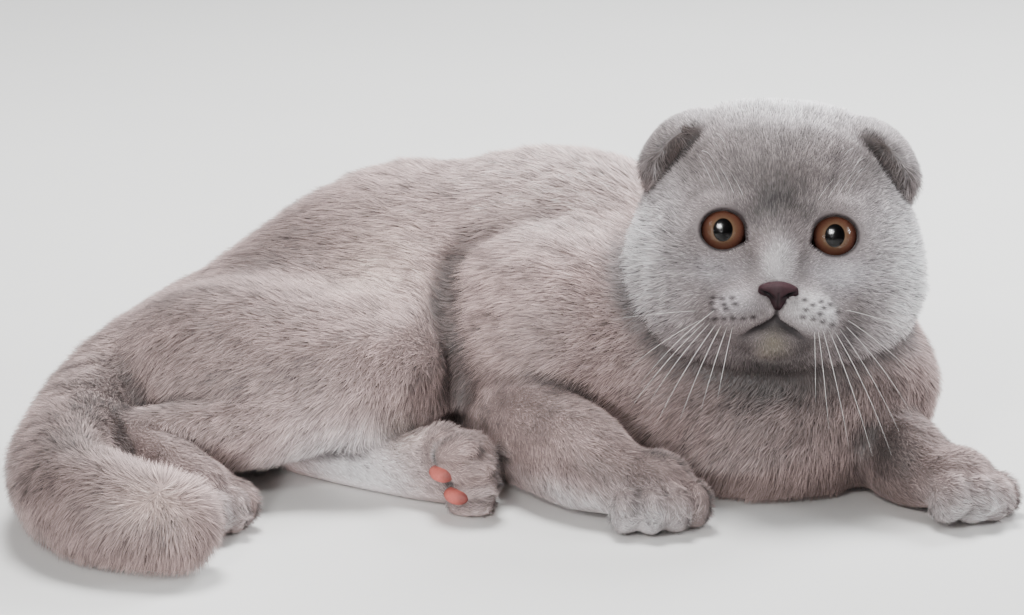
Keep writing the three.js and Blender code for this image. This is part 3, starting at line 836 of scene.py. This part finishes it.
def painted_material(name, roughness, specular, scale, mottle, relief=None, sheen=0.0):
    """A material that takes its colour from the mesh's paint, with a fine mottle over it.

    relief is the scale, strength and distance of the bump."""
    look = Look(name, roughness, specular)
    colour = look.node("Attribute", {}, attribute_name="paint").outputs["Color"]
    reach = {"Value": look.noise(scale, 3), "To Min": 1 - mottle, "To Max": 1 + mottle}
    shade = look.node("MapRange", reach).outputs["Result"]
    mixed = look.node("Mix", {"Factor": 1, 6: colour, 7: shade}, data_type="RGBA", blend_type="MULTIPLY")
    look.link(mixed.outputs[2], look.shader.inputs["Base Color"])
    if relief:
        bump_scale, strength, distance = relief
        look.bump(look.noise(bump_scale, 4), strength, distance)
    look.link(sheen, look.shader.inputs["Sheen Weight"])
    look.link(0.4, look.shader.inputs["Sheen Roughness"])
    return look.material


def paint(obj, colours):
    """Writes a colour for each point of the mesh."""
    layer = obj.data.color_attributes.new("paint", "FLOAT_COLOR", "POINT")
    with_alpha = np.ones((len(colours), 4), np.float32)
    with_alpha[:, :3] = colours
    layer.data.foreach_set("color", with_alpha.ravel())


coat_material = painted_material("coat_hair", 0.62, 0.25, 900, 0.1, sheen=0.1)
skin_material = painted_material("coat_ground", 0.85, 0.2, 700, 0.18, relief=(1400, 0.6, 0.0008))

skin_piece = mesh_object("skin", skin.points, skin.faces)
paint(skin_piece, skin_colour)
skin_piece.data.materials.append(skin_material)
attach(skin_piece, "root")
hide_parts(*FLESH)


# Coat: roots spread over the skin by its density
def weighed(values, shares):
    """Values at places inside faces, from those at the corners."""
    return np.einsum("nk,nkc->nc", shares, values)


TUFT_TRIANGLES = 4
face_density = density[skin.faces].mean(axis=1) * (bald[skin.faces].max(axis=1) < 0.5)
wanted = skin.areas() * face_density
wanted *= COAT_TRIANGLES / np.sum(wanted * TUFT_TRIANGLES)
totals = np.cumsum(wanted)
chosen = np.searchsorted(totals, np.arange(int(totals[-1])) + rng.random(int(totals[-1])))
chosen = np.minimum(chosen, len(skin.faces) - 1)
shares = rng.dirichlet((1, 1, 1), len(chosen))
corners = skin.faces[chosen]

root, root_normal, root_lie, root_colour = (
    weighed(values[corners], shares) for values in (skin.points, skin_normals, comb, base_colour)
)
root_normal = unit(root_normal)
root_fields = np.stack([length, half_width, stand, on_head], axis=1)
root_length, root_half, root_stand, root_head = weighed(root_fields[corners], shares).T
root_owner = host_index[owner[corners[:, 0]]]

# Neighbouring hairs lean together, so that the coat breaks into soft clumps
# Each lean has a strength, a size and a seed
LEANS = [(0.22, 14, 20), (0.3, 4.2, 30)]
STRAY, LENGTH_STRAY, LIFT_STRAY, TONE_STRAY = 0.14, 0.1, 0.14, 0.26
swirl = sum(strength * noise_vector(root, size, seed) for strength, size, seed in LEANS)
root_lie = root_lie + (swirl + rng.normal(0, STRAY, root.shape))
root_lie -= root_normal * np.sum(root_lie * root_normal, axis=1, keepdims=True)
root_lie = unit(root_lie)
SHORTEST, LOWEST, STEEPEST = 1.2, 6, 62
root_length = root_length * (1 + 0.16 * noise(root, 7, 40) + rng.normal(0, LENGTH_STRAY, len(root)))
root_length = np.maximum(root_length, SHORTEST)
root_half = root_half * rng.uniform(0.7, 1.25, len(root))
lift = 1 + 0.35 * noise(root, 5, 50) + rng.normal(0, LIFT_STRAY, len(root))
root_stand = np.radians(np.clip(root_stand * lift, LOWEST, STEEPEST))
# The tone runs in streaks along the lie, and each hair has its own
DARKEST, PALEST = 0.2, 2.1
STREAK_STRETCH, STREAK_SIZE = 0.75, 1.5
streak_place = root - STREAK_STRETCH * root_lie * np.sum(root * root_lie, axis=1, keepdims=True)
tone = 1 + (0.6 + 0.35 * root_head) * noise(streak_place, STREAK_SIZE, 60) + 0.28 * noise(root, 4.5, 61)
tone += rng.normal(0, 1, len(root)) * TONE_STRAY
root_colour = root_colour * np.clip(tone, DARKEST, PALEST)[:, None]

# Each tuft is darker at the root and paler at the tip: partly the coat's own dark base and pale tips, partly
# painted shade deep in the coat
ROOT_TONE, TIP_TONE, TIP_PALE = 0.38, 1.36, 0.025
# How deep a tuft starts, how flat it is, how far off the floor it stays, and how much it is lit as skin
SUNK, SUNK_SHARE = 0.5, 0.2
FLATNESS = 0.6
TUFT_CLEAR = 0.15
SKIN_SHADING = 0.62
# A tuft is three points round its root and one at its tip, with its own places on the patch of the map
TUFT_FACES = np.array([(0, 1, 2), (1, 0, 3), (2, 1, 3), (0, 2, 3)])
TUFT_TONES = np.array((ROOT_TONE, ROOT_TONE, ROOT_TONE, TIP_TONE))[None, :, None]
TUFT_PALES = np.array((0, 0, 0, TIP_PALE))[None, :, None]
TUFT_SPOTS = np.array([(-0.5, 0), (0.5, 0), (0, 0.2), (0, 1)])


def rings(centre, axis_side, axis_up, radius):
    """Three points round each centre, flattened along the normal."""
    points = []
    for angle in (90, 210, 330):
        across = math.cos(math.radians(angle)) * radius[:, None] * axis_side
        above = math.sin(math.radians(angle)) * radius[:, None] * FLATNESS * axis_up
        points.append(centre + across + above)
    return np.stack(points, axis=1)


def flat(values):
    return values.reshape(-1, values.shape[-1])


def tufts(which):
    """Points, triangles, colours, normals and map places of the tufts at the chosen roots."""
    normal, lie, size, half = root_normal[which], root_lie[which], root_length[which], root_half[which]
    side = np.cross(lie, normal)
    base = root[which] - normal * np.minimum(SUNK, size * SUNK_SHARE)[:, None]
    angle = root_stand[which][:, None]
    out = np.cos(angle) * lie + np.sin(angle) * normal
    tip = base + out * size[:, None]
    points = np.concatenate([rings(base, side, np.cross(side, out), half), tip[:, None]], axis=1)
    count, each = points.shape[:2]
    faces = (TUFT_FACES[None] + each * np.arange(count)[:, None, None]).reshape(-1, 3)
    colours = root_colour[which][:, None] * TUFT_TONES * (1 - TUFT_PALES) + COAT_PALE_AND_HIGHLIGHT * TUFT_PALES
    own_normal = unit(points - points.mean(axis=1, keepdims=True))
    shading = unit(SKIN_SHADING * normal[:, None] + (1 - SKIN_SHADING) * own_normal)
    points[..., 2] = np.maximum(points[..., 2], TUFT_CLEAR)
    return flat(points), faces, np.clip(flat(colours), 0, 1), flat(shading), np.tile(TUFT_SPOTS, (count, 1))


COARSE_VOXEL = 4.0
coarse_points, coarse_faces = remeshed(skin.points, skin.faces, COARSE_VOXEL)
coarse_middles = coarse_points[coarse_faces].mean(axis=1)
coarse_owner = host_index[cad_owner[nearest_face(cad_tree, coarse_middles)]]


def unwrap(faces):
    """Places on the map for the corners of some faces of the coarse skin, unwrapped in islands."""
    used, own = np.unique(faces, return_inverse=True)
    sheet = mesh_object("unwrap", coarse_points[used], own.reshape(-1, 3))
    bpy.ops.object.select_all(action="DESELECT")
    sheet.select_set(True)
    bpy.context.view_layer.objects.active = sheet
    bpy.ops.object.mode_set(mode="EDIT")
    bpy.ops.mesh.select_all(action="SELECT")
    bpy.ops.uv.smart_project(angle_limit=math.radians(66), island_margin=0.01)
    bpy.ops.object.mode_set(mode="OBJECT")
    places = np.zeros(len(faces) * 6, np.float32)
    sheet.data.uv_layers[0].data.foreach_get("uv", places)
    discard(sheet)
    return places.reshape(-1, 3, 2)


def map_places(points, faces, places):
    """Where points near the coarse skin fall on its map."""
    tree = search_tree(coarse_points, faces.tolist())
    nearest = [tree.find_nearest(Vector(p)) for p in points]
    hit = np.array([n[0] for n in nearest])
    index = np.array([n[2] for n in nearest])
    a, b, c = (coarse_points[faces[index, k]] for k in range(3))
    whole = np.cross(b - a, c - a)
    size = np.sum(whole * whole, axis=1)
    share_b = np.sum(np.cross(hit - a, c - a) * whole, axis=1) / size
    share_c = np.sum(np.cross(b - a, hit - a) * whole, axis=1) / size
    share = np.stack([1 - share_b - share_c, share_b, share_c], axis=1)
    return weighed(places[index], share)


def coat_piece(name, which, places):
    """One piece of the coat from the tufts at these roots."""
    points, faces, colours, shading, spots = tufts(which)
    spots = spots * PATCH + np.repeat(places, len(TUFT_SPOTS), axis=0)
    piece = mesh_object(name, points, faces)
    paint(piece, colours)
    layer = piece.data.uv_layers.new(name="OFBake")
    layer.data.foreach_set("uv", np.clip(spots[faces.ravel()], 0, 1).astype(np.float32).ravel())
    piece.data.normals_split_custom_set_from_vertices(shading)
    piece.data.materials.append(coat_material)
    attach(piece, "root")
    return piece


GROUPS = {
    "head": ["head"],
    "ears": ["ear_right", "ear_left"],
    "neck": ["neck"],
    "chest": ["chest"],
    "belly": ["belly"],
    "rump": ["rump"],
    "thigh": ["thigh_right"],
    "hind_legs": ["shank_right", "hindfoot_right", "hindfoot_left"],
    "hind_paws": ["hindpaw_right", "hindpaw_left"],
    "forelegs": ["foreleg_right", "foreleg_left"],
    "forepaws": ["forepaw_right", "forepaw_left"],
    "tail": ["tail_base", "tail_middle", "tail_tip"],
}
for group, members in GROUPS.items():
    indices = [FLESH.index(n) for n in members]
    which = np.flatnonzero(np.isin(root_owner, indices))
    group_faces = coarse_faces[np.isin(coarse_owner, indices)]
    places = map_places(root[which], group_faces, unwrap(group_faces))
    triangles = TUFT_TRIANGLES * len(which)
    parts = max(1, math.ceil(triangles / PIECE_TRIANGLES))
    order = np.argsort(root[which][:, 0], kind="stable")
    so_far = TUFT_TRIANGLES * np.arange(1, len(which) + 1) - 1
    cut = np.minimum(so_far * parts // triangles, parts - 1)
    for k in range(parts):
        some = order[cut == k]
        coat_piece(f"coat_{group}_{k + 1}" if parts > 1 else f"coat_{group}", which[some], places[some])


# Eyes: a ball with its iris, and the clear cornea over it
IRIS_RADIUS = 9.2
PUPIL = (4.0, 4.7)
CORNEA_FRONT = 12.0
CORNEA_THICK, CORNEA_INNER = 0.5, 0.97
IRIS_FORWARD, IRIS_CUP = 6.3, 0.5
RIM_CLEAR, RIM_RADIUS, RIM_SWELL, OUTLINE_ROUNDS = 0.7, 0.5, 0.22, 3
INNER_CORNER, CORNER_WIDTH, CORNER_REACH = math.radians(206), math.radians(12), 0.14
IRIS_STOPS = [
    (0.0, (100, 74, 54)),
    (0.46, (124, 98, 74)),
    (0.6, (110, 79, 62)),
    (0.76, (100, 64, 51)),
    (0.9, (68, 41, 34)),
    (0.96, (34, 20, 18)),
]
PUPIL_BLACK = (0.003, 0.002, 0.002, 1)
FINE, LONG, FIBRE_STRENGTH = 3.0, 0.7, 0.14


def ring_faces(count, around, closed=False):
    """Faces between each ring of points and the next."""
    faces = []
    for k in range(count if closed else count - 1):
        ahead = ((k + 1) % count - k) * around
        for j in range(around):
            a, b = k * around + j, k * around + (j + 1) % around
            faces.append((a, b, b + ahead, a + ahead))
    return faces


def revolved(name, profile, segments=96):
    """A surface of revolution about -Y from (radius, forward) pairs in millimetres, closed at both ends."""
    points = []
    for radius, forward in profile[1:-1]:
        for k in range(segments):
            angle = 2 * math.pi * k / segments
            points.append((radius * math.cos(angle), -forward, radius * math.sin(angle)))
    start, end = len(points), len(points) + 1
    points += [(0, -profile[0][1], 0), (0, -profile[-1][1], 0)]
    faces = ring_faces(len(profile) - 2, segments)
    for k in range(segments):
        after = (k + 1) % segments
        faces.append((start, after, k))
        faces.append((end, start - segments + k, start - segments + after))
    data = bpy.data.meshes.new(name)
    data.from_pydata([tuple(c * MM for c in p) for p in points], [], faces)
    data.shade_smooth()
    return add_object(name, data)


def put_in_head(obj, place, material):
    """Places an object whose own frame is the head's, turned, and gives it its material."""
    matrix = Matrix(HEAD.tolist()).to_4x4()
    matrix.translation = Vector(to_row(from_head(place)))
    obj.matrix_world = matrix
    obj.data.materials.append(material)


def ball_profile(radius, start, stop, steps):
    """Points of a ball's outline between two angles from the front, in degrees."""
    angles = np.radians(np.linspace(start, stop, steps))
    return [(radius * math.sin(a), radius * math.cos(a)) for a in angles]


def iris_material():
    look = Look("iris", 0.6, 0.0)
    place = look.node("TexCoord", {}).outputs["Object"]
    split = look.node("SeparateXYZ", {0: place})

    def reach(x, z):
        squares = (look.maths("MULTIPLY", v, v) for v in (x, z))
        return look.maths("SQRT", look.maths("ADD", *squares))

    x, z = (look.maths("MULTIPLY", split.outputs[axis], 1 / (IRIS_RADIUS * MM)) for axis in ("X", "Z"))
    radius = reach(x, z)
    pupil_reach = reach(look.maths("MULTIPLY", x, PUPIL[1] / PUPIL[0]), z)
    angle = look.maths("ARCTAN2", x, z)
    # Fibres: noise that is fine round the iris and long across it
    circle = [look.maths("MULTIPLY", look.maths(kind, angle), FINE) for kind in ("SINE", "COSINE")]
    join = look.node("CombineXYZ", {0: circle[0], 1: circle[1], 2: look.maths("MULTIPLY", radius, LONG)})
    fibres = look.noise(6, 6, join.outputs[0])
    waver = look.maths("MULTIPLY", look.maths("SUBTRACT", fibres, 0.5), FIBRE_STRENGTH)
    colour = look.tint(look.maths("ADD", radius, waver), IRIS_STOPS)
    rim = PUPIL[1] / IRIS_RADIUS
    edge = look.node("MapRange", {"Value": pupil_reach, "From Min": rim * 0.97, "From Max": rim * 1.05})
    mixed = look.node("Mix", {0: edge.outputs[0], 6: PUPIL_BLACK, 7: colour}, data_type="RGBA")
    look.link(mixed.outputs[2], look.shader.inputs["Base Color"])
    return look.material


def cornea_material():
    """Clear, with the sharp reflections of a wet surface."""
    look = Look("cornea", 0.02, 0.5)
    look.tree.nodes.remove(look.shader)
    outer = look.maths("SUBTRACT", 1, look.node("NewGeometry", {}).outputs["Backfacing"])
    wet = look.maths("MULTIPLY", outer, look.node("Fresnel", {"IOR": 1.36}).outputs[0])
    clear = look.node("BsdfTransparent", {}).outputs[0]
    gloss = look.node("BsdfGlossy", {"Roughness": 0.16}).outputs[0]
    mixed = look.node("MixShader", {0: wet, 1: clear, 2: gloss})
    look.link(mixed.outputs[0], look.tree.nodes["Material Output"].inputs[0])
    return look.material


rim_look = speckled_material("lid_rim", 0.4, 0.25, (20, 13, 13), (42, 29, 29), 2500, 4, relief=(0.2, 0.0002))
iris_look, cornea_look = iris_material(), cornea_material()


def tube(line, radii, sides=8, closed=False):
    """A tube along a line of points in millimetres, with a radius at each point."""
    line, radii = np.asarray(line, float), np.asarray(radii, float)
    count = len(line)
    if closed:
        run = unit(np.roll(line, -1, axis=0) - np.roll(line, 1, axis=0))
    else:
        run = unit(np.gradient(line, axis=0))
    up = unit(np.cross(run, (0.13, 0.9, 0.4)))
    side = np.cross(run, up)
    angles = 2 * math.pi * np.arange(sides) / sides
    around = np.cos(angles)[None, :, None] * up[:, None] + np.sin(angles)[None, :, None] * side[:, None]
    points = (line[:, None] + radii[:, None, None] * around).reshape(-1, 3)
    faces = ring_faces(count, sides, closed)
    if not closed:
        faces += [tuple(range(sides))[::-1], tuple(range((count - 1) * sides, count * sides))]
    return points, faces


def fissure_outline(side, steps=72):
    """Points round the opening of one eye, just in front of the ball and the lids, in millimetres."""
    place = EYE_PLACE * (side, 1, 1)
    points = []
    for k in range(steps):
        angle = 2 * math.pi * k / steps
        across, up = math.cos(angle), math.sin(angle)
        corner = math.exp(-(((angle - INNER_CORNER) / CORNER_WIDTH) ** 2))
        x = side * across * FISSURE[0] * (1 + CORNER_REACH * corner)
        z = up * FISSURE[1] * (1 + CORNER_REACH * corner)
        on_ball = -math.sqrt(max((EYE_RADIUS + RIM_CLEAR) ** 2 - x * x - z * z, 1.0))
        points.append(place + (x, on_ball, z))
    points = np.array(points)
    for _ in range(OUTLINE_ROUNDS):
        points[:, 1] = (np.roll(points[:, 1], 1) + points[:, 1] * 2 + np.roll(points[:, 1], -1)) / 4
    return from_head(points)


for which_eye, side in SIDES.items():
    place = EYE_PLACE * (side, 1, 1)
    limbus = math.degrees(math.asin(IRIS_RADIUS / EYE_RADIUS))
    back = ball_profile(EYE_RADIUS, 180, limbus, 30)
    flat_iris = [(IRIS_RADIUS * r, IRIS_FORWARD + IRIS_CUP * (1 - r)) for r in np.linspace(0.97, 0.0, 14)]
    ball = revolved(f"eyeball_{which_eye}", back + flat_iris)
    put_in_head(ball, place, iris_look)
    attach(ball, "root")
    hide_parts(f"eye_{which_eye}")
    edge_forward = math.sqrt(EYE_RADIUS**2 - IRIS_RADIUS**2)
    rise = CORNEA_FRONT - edge_forward
    dome = (IRIS_RADIUS**2 + rise**2) / (2 * rise)
    centre = CORNEA_FRONT - dome
    last = math.degrees(math.asin(IRIS_RADIUS / dome))
    front = [(r, f + centre) for r, f in ball_profile(dome, 0, last, 24)]
    inner = [(r * CORNEA_INNER, f + centre - CORNEA_THICK) for r, f in ball_profile(dome, last, 0, 24)]
    cornea = revolved(f"cornea_{which_eye}", front + inner)
    put_in_head(cornea, place, cornea_look)
    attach(cornea, "root")
    outline = fissure_outline(side)
    round_eye = np.linspace(0, 2 * math.pi, len(outline), endpoint=False)
    points, faces = tube(outline, RIM_RADIUS + RIM_SWELL * np.sin(round_eye), closed=True)
    rim = mesh_object(f"lid_rim_{which_eye}", points, faces)
    rim.data.materials.append(rim_look)
    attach(rim, "root")


# Nose leather and toe pads, as fine smooth copies of their solids
LEATHER_RELIEF = (2200, 0.5, 0.0004)
NOSE_COLOUR, NOSTRIL_SHADE = linear(52, 32, 37), linear(12, 7, 9)
PAD_COLOUR, PAD_EDGE = linear(172, 92, 84), linear(112, 62, 58)
nose_look = painted_material("nose_leather", 0.65, 0.1, 900, 0.2, relief=LEATHER_RELIEF)
pad_look = painted_material("pad_leather", 0.6, 0.1, 900, 0.2, relief=LEATHER_RELIEF)


def soft_copy(node, voxel, rounds, grow):
    """An even, smooth copy of one solid."""
    shell = Surface(*remeshed(*node_shell(node, grow), voxel))
    shell.points = shell.spread(shell.points, rounds)
    return shell


nose = soft_copy("nose", 0.45, 6, 0.25)
own = in_head(nose.points) - NOSE_PLACE
NOSTRIL_SIDE, NOSTRIL_WIDTH, NOSTRIL_HEIGHT, NOSTRIL_DEPTH = 4.8, 2.9, 0.8, 1.2
CREASE_WIDTH, CREASE_DEPTH = 0.45, 0.45
nostril = np.zeros(len(own))
for side in SIDES.values():
    slope = 0.5 * (side * own[:, 0] - NOSTRIL_SIDE)
    across = (own[:, 0] - side * NOSTRIL_SIDE) / NOSTRIL_WIDTH
    up = (own[:, 2] + 0.4 - slope) / NOSTRIL_HEIGHT
    nostril = np.maximum(nostril, np.exp(-(across**2 + up**2)) * (own[:, 1] < 0.5))
nose.sink(NOSTRIL_DEPTH * nostril)
crease = bell(own[:, 0], CREASE_WIDTH) * (own[:, 2] < 0.5)
nose.sink(CREASE_DEPTH * crease)
nose_piece = mesh_object("nose_leather", nose.points, nose.faces)
# Painted shade in the nostrils and the middle crease, and a painted highlight that makes the leather paler
# towards the top
dark = np.clip(1.5 * nostril + 0.5 * crease, 0, 1)
upper = ramp(own[:, 2], -3, 4)[:, None]
paint(nose_piece, blended(NOSE_COLOUR * (0.6 + 0.6 * upper), NOSTRIL_SHADE, dark))
nose_piece.data.materials.append(nose_look)
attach(nose_piece, "root")
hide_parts("nose")

for node in ("toe_pad_upper", "toe_pad_lower"):
    pad = soft_copy(node, 0.6, 8, 0.5)
    away = np.linalg.norm(pad.points - pad.points.mean(axis=0), axis=1)[:, None]
    piece = mesh_object(f"{node}_skin", pad.points, pad.faces)
    paint(piece, blended(PAD_COLOUR, PAD_EDGE, ramp(away, 3.5, 6.5)))
    piece.data.materials.append(pad_look)
    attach(piece, "root")
    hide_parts(node)


# Whiskers, brow hairs and the long light hairs in the ears
BEFORE_FACE = -90
WHISKER_RADIUS, BROW_RADIUS, EAR_RADIUS = 0.1, 0.06, 0.08
skin_tree = search_tree(skin.points, skin.faces.tolist())


def on_skin(head_point):
    """The place on the skin straight behind a point in front of the face, in the head's frame."""
    start = Vector(from_head(np.array(head_point, float)))
    hit = skin_tree.ray_cast(start, Vector(from_head((0, 1, 0)) - HEAD_CENTRE), -BEFORE_FACE)
    return in_head(np.array(hit[0])[None])[0]


def curved_hair(start, direction, size, droop, steps=14):
    """A line that leaves along a direction and bends down under its own weight."""
    line = [np.array(start, float)]
    heading = unit(np.array(direction, float))
    for _ in range(steps):
        line.append(line[-1] + heading * size / steps)
        heading = unit(heading + np.array((0, 0, -droop)) / steps)
    return np.array(line)


hair_points, hair_faces, hair_count = [], [], 0


def add_hair(line, thickness):
    global hair_count
    radii = thickness * (1 - np.linspace(0, 1, len(line)) ** 1.6 * 0.85)
    points, faces = tube(from_head(line), radii, sides=5)
    hair_points.append(points)
    hair_faces.extend([tuple(k + hair_count for k in f) for f in faces])
    hair_count += len(points)


# Whiskers: root across and up in the head's frame, heading across, forward and up, length and droop
WHISKERS = [
    (-31.0, -31.0, (-0.98, -0.25, -0.10), 34, 0.1),
    (-29.5, -34.5, (-0.86, -0.30, -0.50), 38, 0.3),
    (-28.0, -35.5, (-0.70, -0.35, -0.72), 48, 0.35),
    (-26.0, -35.8, (-0.66, -0.40, -0.75), 42, 0.4),
    (-23.5, -36.0, (-0.56, -0.45, -0.83), 50, 0.4),
    (-21.5, -36.2, (-0.42, -0.45, -0.88), 46, 0.45),
    (-19.0, -36.3, (-0.30, -0.45, -0.93), 38, 0.4),
    (-17.0, -36.6, (-0.18, -0.45, -0.96), 32, 0.3),
    (-24.5, -30.5, (-0.80, -0.40, -0.66), 44, 0.4),
    (28.5, -27.5, (0.97, -0.25, -0.16), 34, 0.25),
    (29.5, -31.5, (0.86, -0.28, -0.50), 36, 0.3),
    (29.0, -34.0, (0.72, -0.30, -0.66), 46, 0.45),
    (26.5, -35.2, (0.60, -0.35, -0.75), 50, 0.4),
    (24.0, -35.8, (0.52, -0.38, -0.80), 58, 0.45),
    (22.0, -36.2, (0.40, -0.40, -0.86), 56, 0.35),
    (19.5, -36.5, (0.28, -0.40, -0.90), 50, 0.35),
    (17.5, -36.6, (0.16, -0.40, -0.95), 42, 0.3),
    (16.0, -36.8, (0.06, -0.40, -0.98), 30, 0.3),
]
for across, up, heading, size, droop in WHISKERS:
    place = on_skin((across, BEFORE_FACE, up))
    add_hair(curved_hair(place + (0, 0.6, 0), heading, size, droop), WHISKER_RADIUS)
BROW_HAIRS, EAR_HAIRS = 4, 26
for side in SIDES.values():
    for k in range(BROW_HAIRS):
        place = on_skin((side * (15 + 4 * k), BEFORE_FACE, 16 + 1.2 * k))
        add_hair(curved_hair(place + (0, 0.5, 0), (side * 0.35, -0.6, 0.7), 15 + 3 * k, 0.35), BROW_RADIUS)
    # Long light hairs lean out of the cup of each ear and curve down over the brow
    for k in range(EAR_HAIRS):
        share = (k + rng.uniform(0, 1)) / EAR_HAIRS
        start = np.array((side * (24 + 20 * share), BEFORE_FACE, 44 - 16 * share)) + rng.normal(0, 0.8, 3)
        place = on_skin(start)
        heading = (side * rng.uniform(-0.9, -0.3), rng.uniform(-0.9, -0.5), rng.uniform(-0.4, 0.25))
        line = curved_hair(place + (0, 1.5, 0), heading, rng.uniform(9, 20), rng.uniform(1.0, 1.8))
        add_hair(line, EAR_RADIUS)
hair_piece = mesh_object("whiskers", np.concatenate(hair_points), hair_faces)
whisker_look = speckled_material(
    "whisker", 0.4, 0.5, (214, 208, 204), (246, 244, 242), 3000, 4, relief=(0.1, 0.0001)
)
hair_piece.data.materials.append(whisker_look)
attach(hair_piece, "root")


# Floor and light
FLOOR_HALF = 6.0
floor_data = bpy.data.meshes.new("floor")
floor_corners = [(FLOOR_HALF * x, FLOOR_HALF * y, 0) for x, y in ((-1, -1), (1, -1), (1, 1), (-1, 1))]
floor_data.from_pydata(floor_corners, [], [(0, 1, 2, 3)])
floor_look = speckled_material("floor", 0.6, 0.3, (214, 213, 211), (220, 219, 217), 6, 2)
floor_data.materials.append(floor_look)
floor = add_object("floor", floor_data)


# Lamps: kind, place and target in metres, width, power, colour
WHITE, WARM, COOL = (1, 1, 1), (1, 0.985, 0.96), (0.95, 0.98, 1)
LAMPS = {
    "key": ("AREA", (-0.42, -1.3, 1.06), (0.05, 0, 0.08), 0.26, 10, WARM),
    "front": ("AREA", (-0.3, -1.6, 0.4), (-0.04, 0, 0.03), 0.5, 2.5, WHITE),
    "low": ("AREA", (-1.35, -1.0, 0.3), (-0.05, 0, 0.03), 0.6, 4, WHITE),
    "catch": ("AREA", (-0.42, -1.3, 1.02), (0.1, 0, 0.1), 0.62, 110, WHITE),
    "foot": ("SPOT", (-0.22, -1.4, 0.26), (-0.09, -0.035, 0.01), 0.08, 95, WHITE),
    "left": ("AREA", (-1.5, -0.3, 1.0), (-0.05, 0, 0.05), 0.6, 5, WHITE),
    "right": ("AREA", (1.35, -0.15, 0.6), (0.1, 0, 0.08), 0.5, 14, COOL),
    "rim": ("AREA", (0.8, 0.9, 1.0), (0.08, 0, 0.1), 0.5, 28, COOL),
    "top": ("AREA", (-0.1, 0.45, 1.5), (0, 0, 0.06), 0.6, 48, WHITE),
}
FOOT_BEAM = 13
for name, (kind, place, target, width, power, colour) in LAMPS.items():
    data = bpy.data.lights.new(name, kind)
    data.energy = power
    data.color = colour
    if kind == "AREA":
        data.shape = "DISK"
        data.size = width
    else:
        data.spot_size = math.radians(FOOT_BEAM)
        data.spot_blend = 1.0
        data.shadow_soft_size = width
    lamp = add_object(name, data)
    lamp.location = place
    lamp.rotation_euler = (Vector(target) - Vector(place)).to_track_quat("-Z", "Y").to_euler()
    # The broad lamp only shows in the wet surfaces
    lamp.visible_diffuse = name != "catch"
    lamp.visible_camera = name != "catch"

SKY, SKY_STRENGTH = (0.85, 0.88, 0.92, 1), 0.17
world = bpy.data.worlds.new("studio")
world.use_nodes = True
background = world.node_tree.nodes["Background"]
background.inputs["Color"].default_value = SKY
background.inputs["Strength"].default_value = SKY_STRENGTH
bpy.context.scene.world = world
